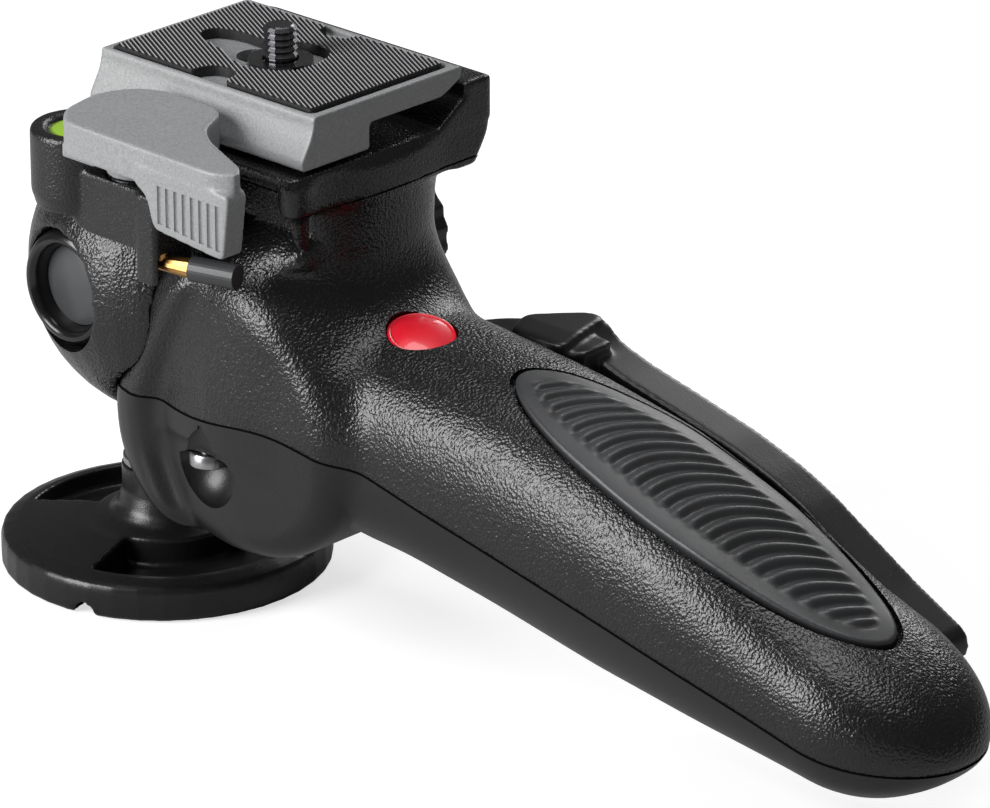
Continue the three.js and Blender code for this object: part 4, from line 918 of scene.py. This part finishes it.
DISC_LIFT = 1
disc = from_cad("base_disc_skin", "base_disc")
soften(disc, 0.42, 4)
for vertex in disc.data.vertices:
    spot = vertex.co
    out = part_way(np.hypot(spot.x, spot.y) / MM, 10, 6)
    spot.z += DISC_LIFT * MM * out * part_way(spot.z / MM, 2, 3)
smooth(disc, 60)
dress(disc, FOOT, "base", "cast_black", "base_disc")


# Trigger

TRIGGER_SHIFT = Vector((1.3, 0.8, 0.7)) * MM
trigger = from_cad("trigger_lever_skin", "trigger_lever")
soften(trigger, 0.5, 4)
for vertex in trigger.data.vertices:
    spot = vertex.co
    out = part_way(spot.y / MM, 14, 5)
    spot.x += TRIGGER_SHIFT.x * out * part_way(spot.x / MM, 90, 60)
    spot.y += TRIGGER_SHIFT.y * out
    spot.z += TRIGGER_SHIFT.z * out
smooth(trigger, 60)
dress(trigger, COVER, "trigger", "satin_black", "trigger_lever")


# Lock lever

LEVER_PLAN = [(22.7, -44.1), (59.3, -44.6), (64, -42.3), (61.2, -39.2), (47.9, -33.4), (43.1, -29.7),
              (40.3, -23.6), (37.4, -21.3), (24.1, -21.3), (19.1, -24.1), (16.5, -30.6), (18.4, -39.5)]
TAB_PLAN = [(45.2, 88.4), (62.1, 86.9), (63.6, 98.9), (40.4, 98.9), (40.4, 95.8), (43.6, 93.9)]
LEVER_LOW, LEVER_HIGH, LEVER_NEAR_Y = 95.8, 102.2, -44.6
PIVOT_X, PIVOT_Y, PIVOT_TOP, BOSS_LOW, BOSS_RADIUS, PIVOT_HOLE_RADIUS = 25.4, -29, 98.9, 89.7, 5.6, 2.5
GROOVES, GROOVE_START, GROOVE_PITCH, GROOVE_RADIUS, GROOVE_TOP = 8, 47, 2.0, 0.62, 96.6


def ridged_lever():
    """The lever's flat top, its tab with eight ridges, and the boss it turns on."""
    pivot = (PIVOT_X, PIVOT_Y)
    lever = slab("lock_lever_skin", rounded(LEVER_PLAN, 2.6), LEVER_LOW, LEVER_HIGH)
    cut(lever, slab("tab", rounded(TAB_PLAN, 1.5), LEVER_NEAR_Y, -40, "Y"), "UNION")
    cut(lever, bar("boss", BOSS_RADIUS, (*pivot, BOSS_LOW), (*pivot, PIVOT_TOP)), "UNION")
    cut(lever, block("lug", (28, -41, 94), (34.5, -33, 97)), "UNION")
    cut(lever, block("lug_front", (20.5, -42.4, 94.6), (28.5, -33, 97)), "UNION")
    soften(lever, 0.3, 6)
    for i in range(GROOVES):
        at = (GROOVE_START + GROOVE_PITCH * i, LEVER_NEAR_Y - 0.15)
        foot = 89.9 - 0.09 * (at[0] - 45)
        cut(lever, bar("groove", GROOVE_RADIUS, (*at, foot), (*at, GROOVE_TOP), sides=16))
    cut(lever, bar("pivot_hole", PIVOT_HOLE_RADIUS, (*pivot, 80), (*pivot, PIVOT_TOP)))
    return lever


lock = ridged_lever()
smooth(lock, 50)
dress(lock, GREY, "lever", "cast_grey", "lock_lever")


# Quick plate

PLATE_SECTION = [(-20.8, 95.3), (-4.7, 95.3), (-4.7, 100.1), (13.4, 100.1), (18.2, 102.5), (18.2, 104.6),
                 (-18.2, 104.6), (-18.3, 102.6), (-18.9, 100.8), (-20.2, 98.6), (-21.1, 97.1), (-21.2, 95.9)]
PAD_OPENING = [(13.9, -2.8), (15.8, -3.9), (20, -4.8), (23.7, -6.1), (27, -7.8), (31, -8.9), (34.7, -8.2),
               (37.7, -6.6), (39.7, -4), (39.8, 0.4), (38.8, 4.3), (37.1, 6.5), (34.1, 7.5), (30, 6.9),
               (26, 4.6), (23.3, 3.2), (19.6, 3.5), (16.6, 3.1), (13.4, 1.6), (12.7, -0.6)]
PAD_OUTLINE = [(6.7, -16.4), (26.2, -16.4), (26.3, -14), (27.7, -12), (30.2, -11.3), (32.7, -12), (34.1, -14),
               (34.2, -16.4), (55.2, -16.4), (55.2, 16), (34.2, 16), (34, 13.6), (30.6, 12), (27.2, 13.6),
               (27, 16), (6.7, 16)]
PLATE_START, PLATE_END, PAD_ROOM_FLOOR, ABOVE_PLATE = 4.9, 57.7, 103.2, 120
SCREW_WAY_X, SCREW_WAY_REACH, SCREW_WAY_RADIUS, HEAD_ROOM_RADIUS, HEAD_ROOM_TOP = 31.3, 6, 3.6, 7.4, 100.9
TOOTH_PITCH, TOOTH_CREST, TOOTH_ROOT, TOOTH_ANGLE = 0.79, 105.28, 104.86, 61.7


def camera_plate():
    """The plate's wedge-edged bar with its pad's bed, screw slot and screw head's room."""
    plate = slab("quick_plate_skin", rounded(PLATE_SECTION, 0.8, 3), PLATE_START, PLATE_END, "X")
    bed = rounded(box_outline(6, 55.9, -17, 16.6), 1.5)
    cut(plate, slab("pad_room", bed, PAD_ROOM_FLOOR, ABOVE_PLATE))
    soften(plate, 0.3, 4)
    way = []
    for side, start in ((1, -pi / 2), (-1, pi / 2)):
        for angle in (start + pi * k / 12 for k in range(13)):
            way.append((SCREW_WAY_X + side * SCREW_WAY_REACH + SCREW_WAY_RADIUS * cos(angle),
                        SCREW_WAY_RADIUS * sin(angle)))
    cut(plate, slab("screw_way", way, 90, ABOVE_PLATE))
    cut(plate, bar("head_room", HEAD_ROOM_RADIUS, (SCREW_WAY_X, 0, 90), (SCREW_WAY_X, 0, HEAD_ROOM_TOP)))
    return plate


def ribbed_pad():
    """The rubber face: fine slanting ribs round an eye-shaped opening."""
    pad = slab("plate_pad_skin", rounded(PAD_OUTLINE, 0.8, 3), 103.3, 107)
    teeth = [(TOOTH_PITCH * k / 2, TOOTH_CREST if k % 2 else TOOTH_ROOT) for k in range(-90, 91)]
    ribs = slab("ribs", [(teeth[0][0], 100), *teeth, (teeth[-1][0], 100)][::-1], -40, 40, "Y")
    turn = Matrix.Rotation(radians(TOOTH_ANGLE), 4, "Z")
    ribs.data.transform(Matrix.Translation(Vector((31, 0, 0)) * MM) @ turn)
    cut(pad, ribs, "INTERSECT")
    return cut(pad, slab("opening", rounded(PAD_OPENING, 0.6, 2), 100, 110))


plate = camera_plate()
smooth(plate, 50)
dress(plate, GREY, "plate", "cast_grey", "quick_plate")
plate_pad = ribbed_pad()
smooth(plate_pad, 25)
dress(plate_pad, PLATE_RUBBER, "plate", "rubber_black", "plate_pad")

dial = from_cad("friction_dial_skin", "friction_dial")
soften(dial, 0.35, 4)
smooth(dial, 60)
dress(dial, COVER, "dial", "cast_black", "friction_dial")


# Finishes on CAD nodes

FINISHES = (
    (STEEL, ("tripod_bush", "base_stem", "steel_ball", "cover_screw_end", "pull_rod", "spring_washer",
             "trigger_pin", "dial_spindle", "lever_pivot")),
    (DARK_STEEL, ("brake_spring", "platform_screw_near_1", "platform_screw_near_2", "platform_screw_far_1",
                  "platform_screw_far_2", "screw_clip", "camera_screw", "lever_spring")),
    (NYLON, ("brake_cup", "ball_seat")),
    (FLUID, ("level_vial",)),
    (BRASS, ("catch_finger",)),
    (SLEEVE, ("catch_sleeve",)))
for material, nodes in FINISHES:
    for node in nodes:
        for slot_place in bpy.data.objects[node].material_slots:
            slot_place.material = material


# Studio and the camera


FLOOR_GLOW, SKY_LEVEL, FLOOR_SIZE = 0.66, 0.12, 6


def studio():
    """A pale floor that the camera sees as white save its shadow, and a faint even sky."""
    bpy.ops.object.select_all(action="DESELECT")
    bpy.ops.mesh.primitive_plane_add(size=FLOOR_SIZE, location=(0, 0, -0.0002))
    floor = bpy.context.object
    floor.name = "floor"
    p = Paint("pale_floor")
    p.finish(colour=p.blend(p.noise(60, 2), (0.5, 0.5, 0.5), (0.52, 0.52, 0.52)), roughness=0.9, shine=0.0)
    glow = p.node("ShaderNodeEmission", {}, {"Color": (1, 1, 1, 1), "Strength": FLOOR_GLOW})
    seen = p.node("ShaderNodeLightPath", {}, {})["Is Camera Ray"]
    plain = Flow(p, p.shader.outputs[0])
    lit = p.node("ShaderNodeAddShader", {}, {0: plain, 1: glow[0]})
    mixed = p.node("ShaderNodeMixShader", {}, {0: seen, 1: plain, 2: lit[0]})
    p.tree.links.new(mixed[0].socket, p.tree.nodes["Material Output"].inputs["Surface"])
    floor.data.materials.append(p.material)

    world = bpy.data.worlds.new("studio")
    bpy.context.scene.world = world
    world.use_nodes = True
    sky = world.node_tree.nodes["Background"]
    sky.inputs["Color"].default_value = (1, 1, 1, 1)
    sky.inputs["Strength"].default_value = SKY_LEVEL


def lamp(name, place, aim, size, power):
    """A soft square lamp that faces a point."""
    bpy.ops.object.select_all(action="DESELECT")
    bpy.ops.object.light_add(type="AREA", location=[v * MM for v in place])
    light = bpy.context.object
    light.name = name
    light.data.shape = "RECTANGLE"
    light.data.size, light.data.size_y = size[0] * MM, size[1] * MM
    light.data.energy = power
    toward = Vector(aim) * MM - light.location
    light.rotation_euler = toward.to_track_quat("-Z", "Y").to_euler()


studio()
lamp("left_softbox", (-260, -750, 400), (70, 0, 50), (480, 620), 11.4)
lamp("overhead", (60, 60, 900), (70, 0, 50), (500, 500), 3.5)
lamp("rim", (-200, 800, 420), (80, 0, 60), (400, 300), 2)

# the camera, as solved from the photo's ellipse and edges
AZIMUTH, ELEVATION, DISTANCE = radians(43.40), radians(22.61), 1.1
FOCAL_PIXELS, PHOTO_WIDTH, SENSOR = 6380, 990, 36
aim = Vector((82.8, 0, 53.6)) * MM
back = Vector((sin(AZIMUTH) * cos(ELEVATION), -cos(AZIMUTH) * cos(ELEVATION), sin(ELEVATION)))
view = bpy.data.cameras.new("camera")
view.lens, view.sensor_width, view.sensor_fit = FOCAL_PIXELS / PHOTO_WIDTH * SENSOR, SENSOR, "HORIZONTAL"
view.clip_start, view.clip_end = 0.05, 20
camera = bpy.data.objects.new("camera", view)
bpy.context.collection.objects.link(camera)
camera.location = aim + back * DISTANCE
camera.rotation_euler = (-back).to_track_quat("-Z", "Y").to_euler()
bpy.context.scene.camera = camera
bpy.context.scene.view_settings.view_transform = "Standard"
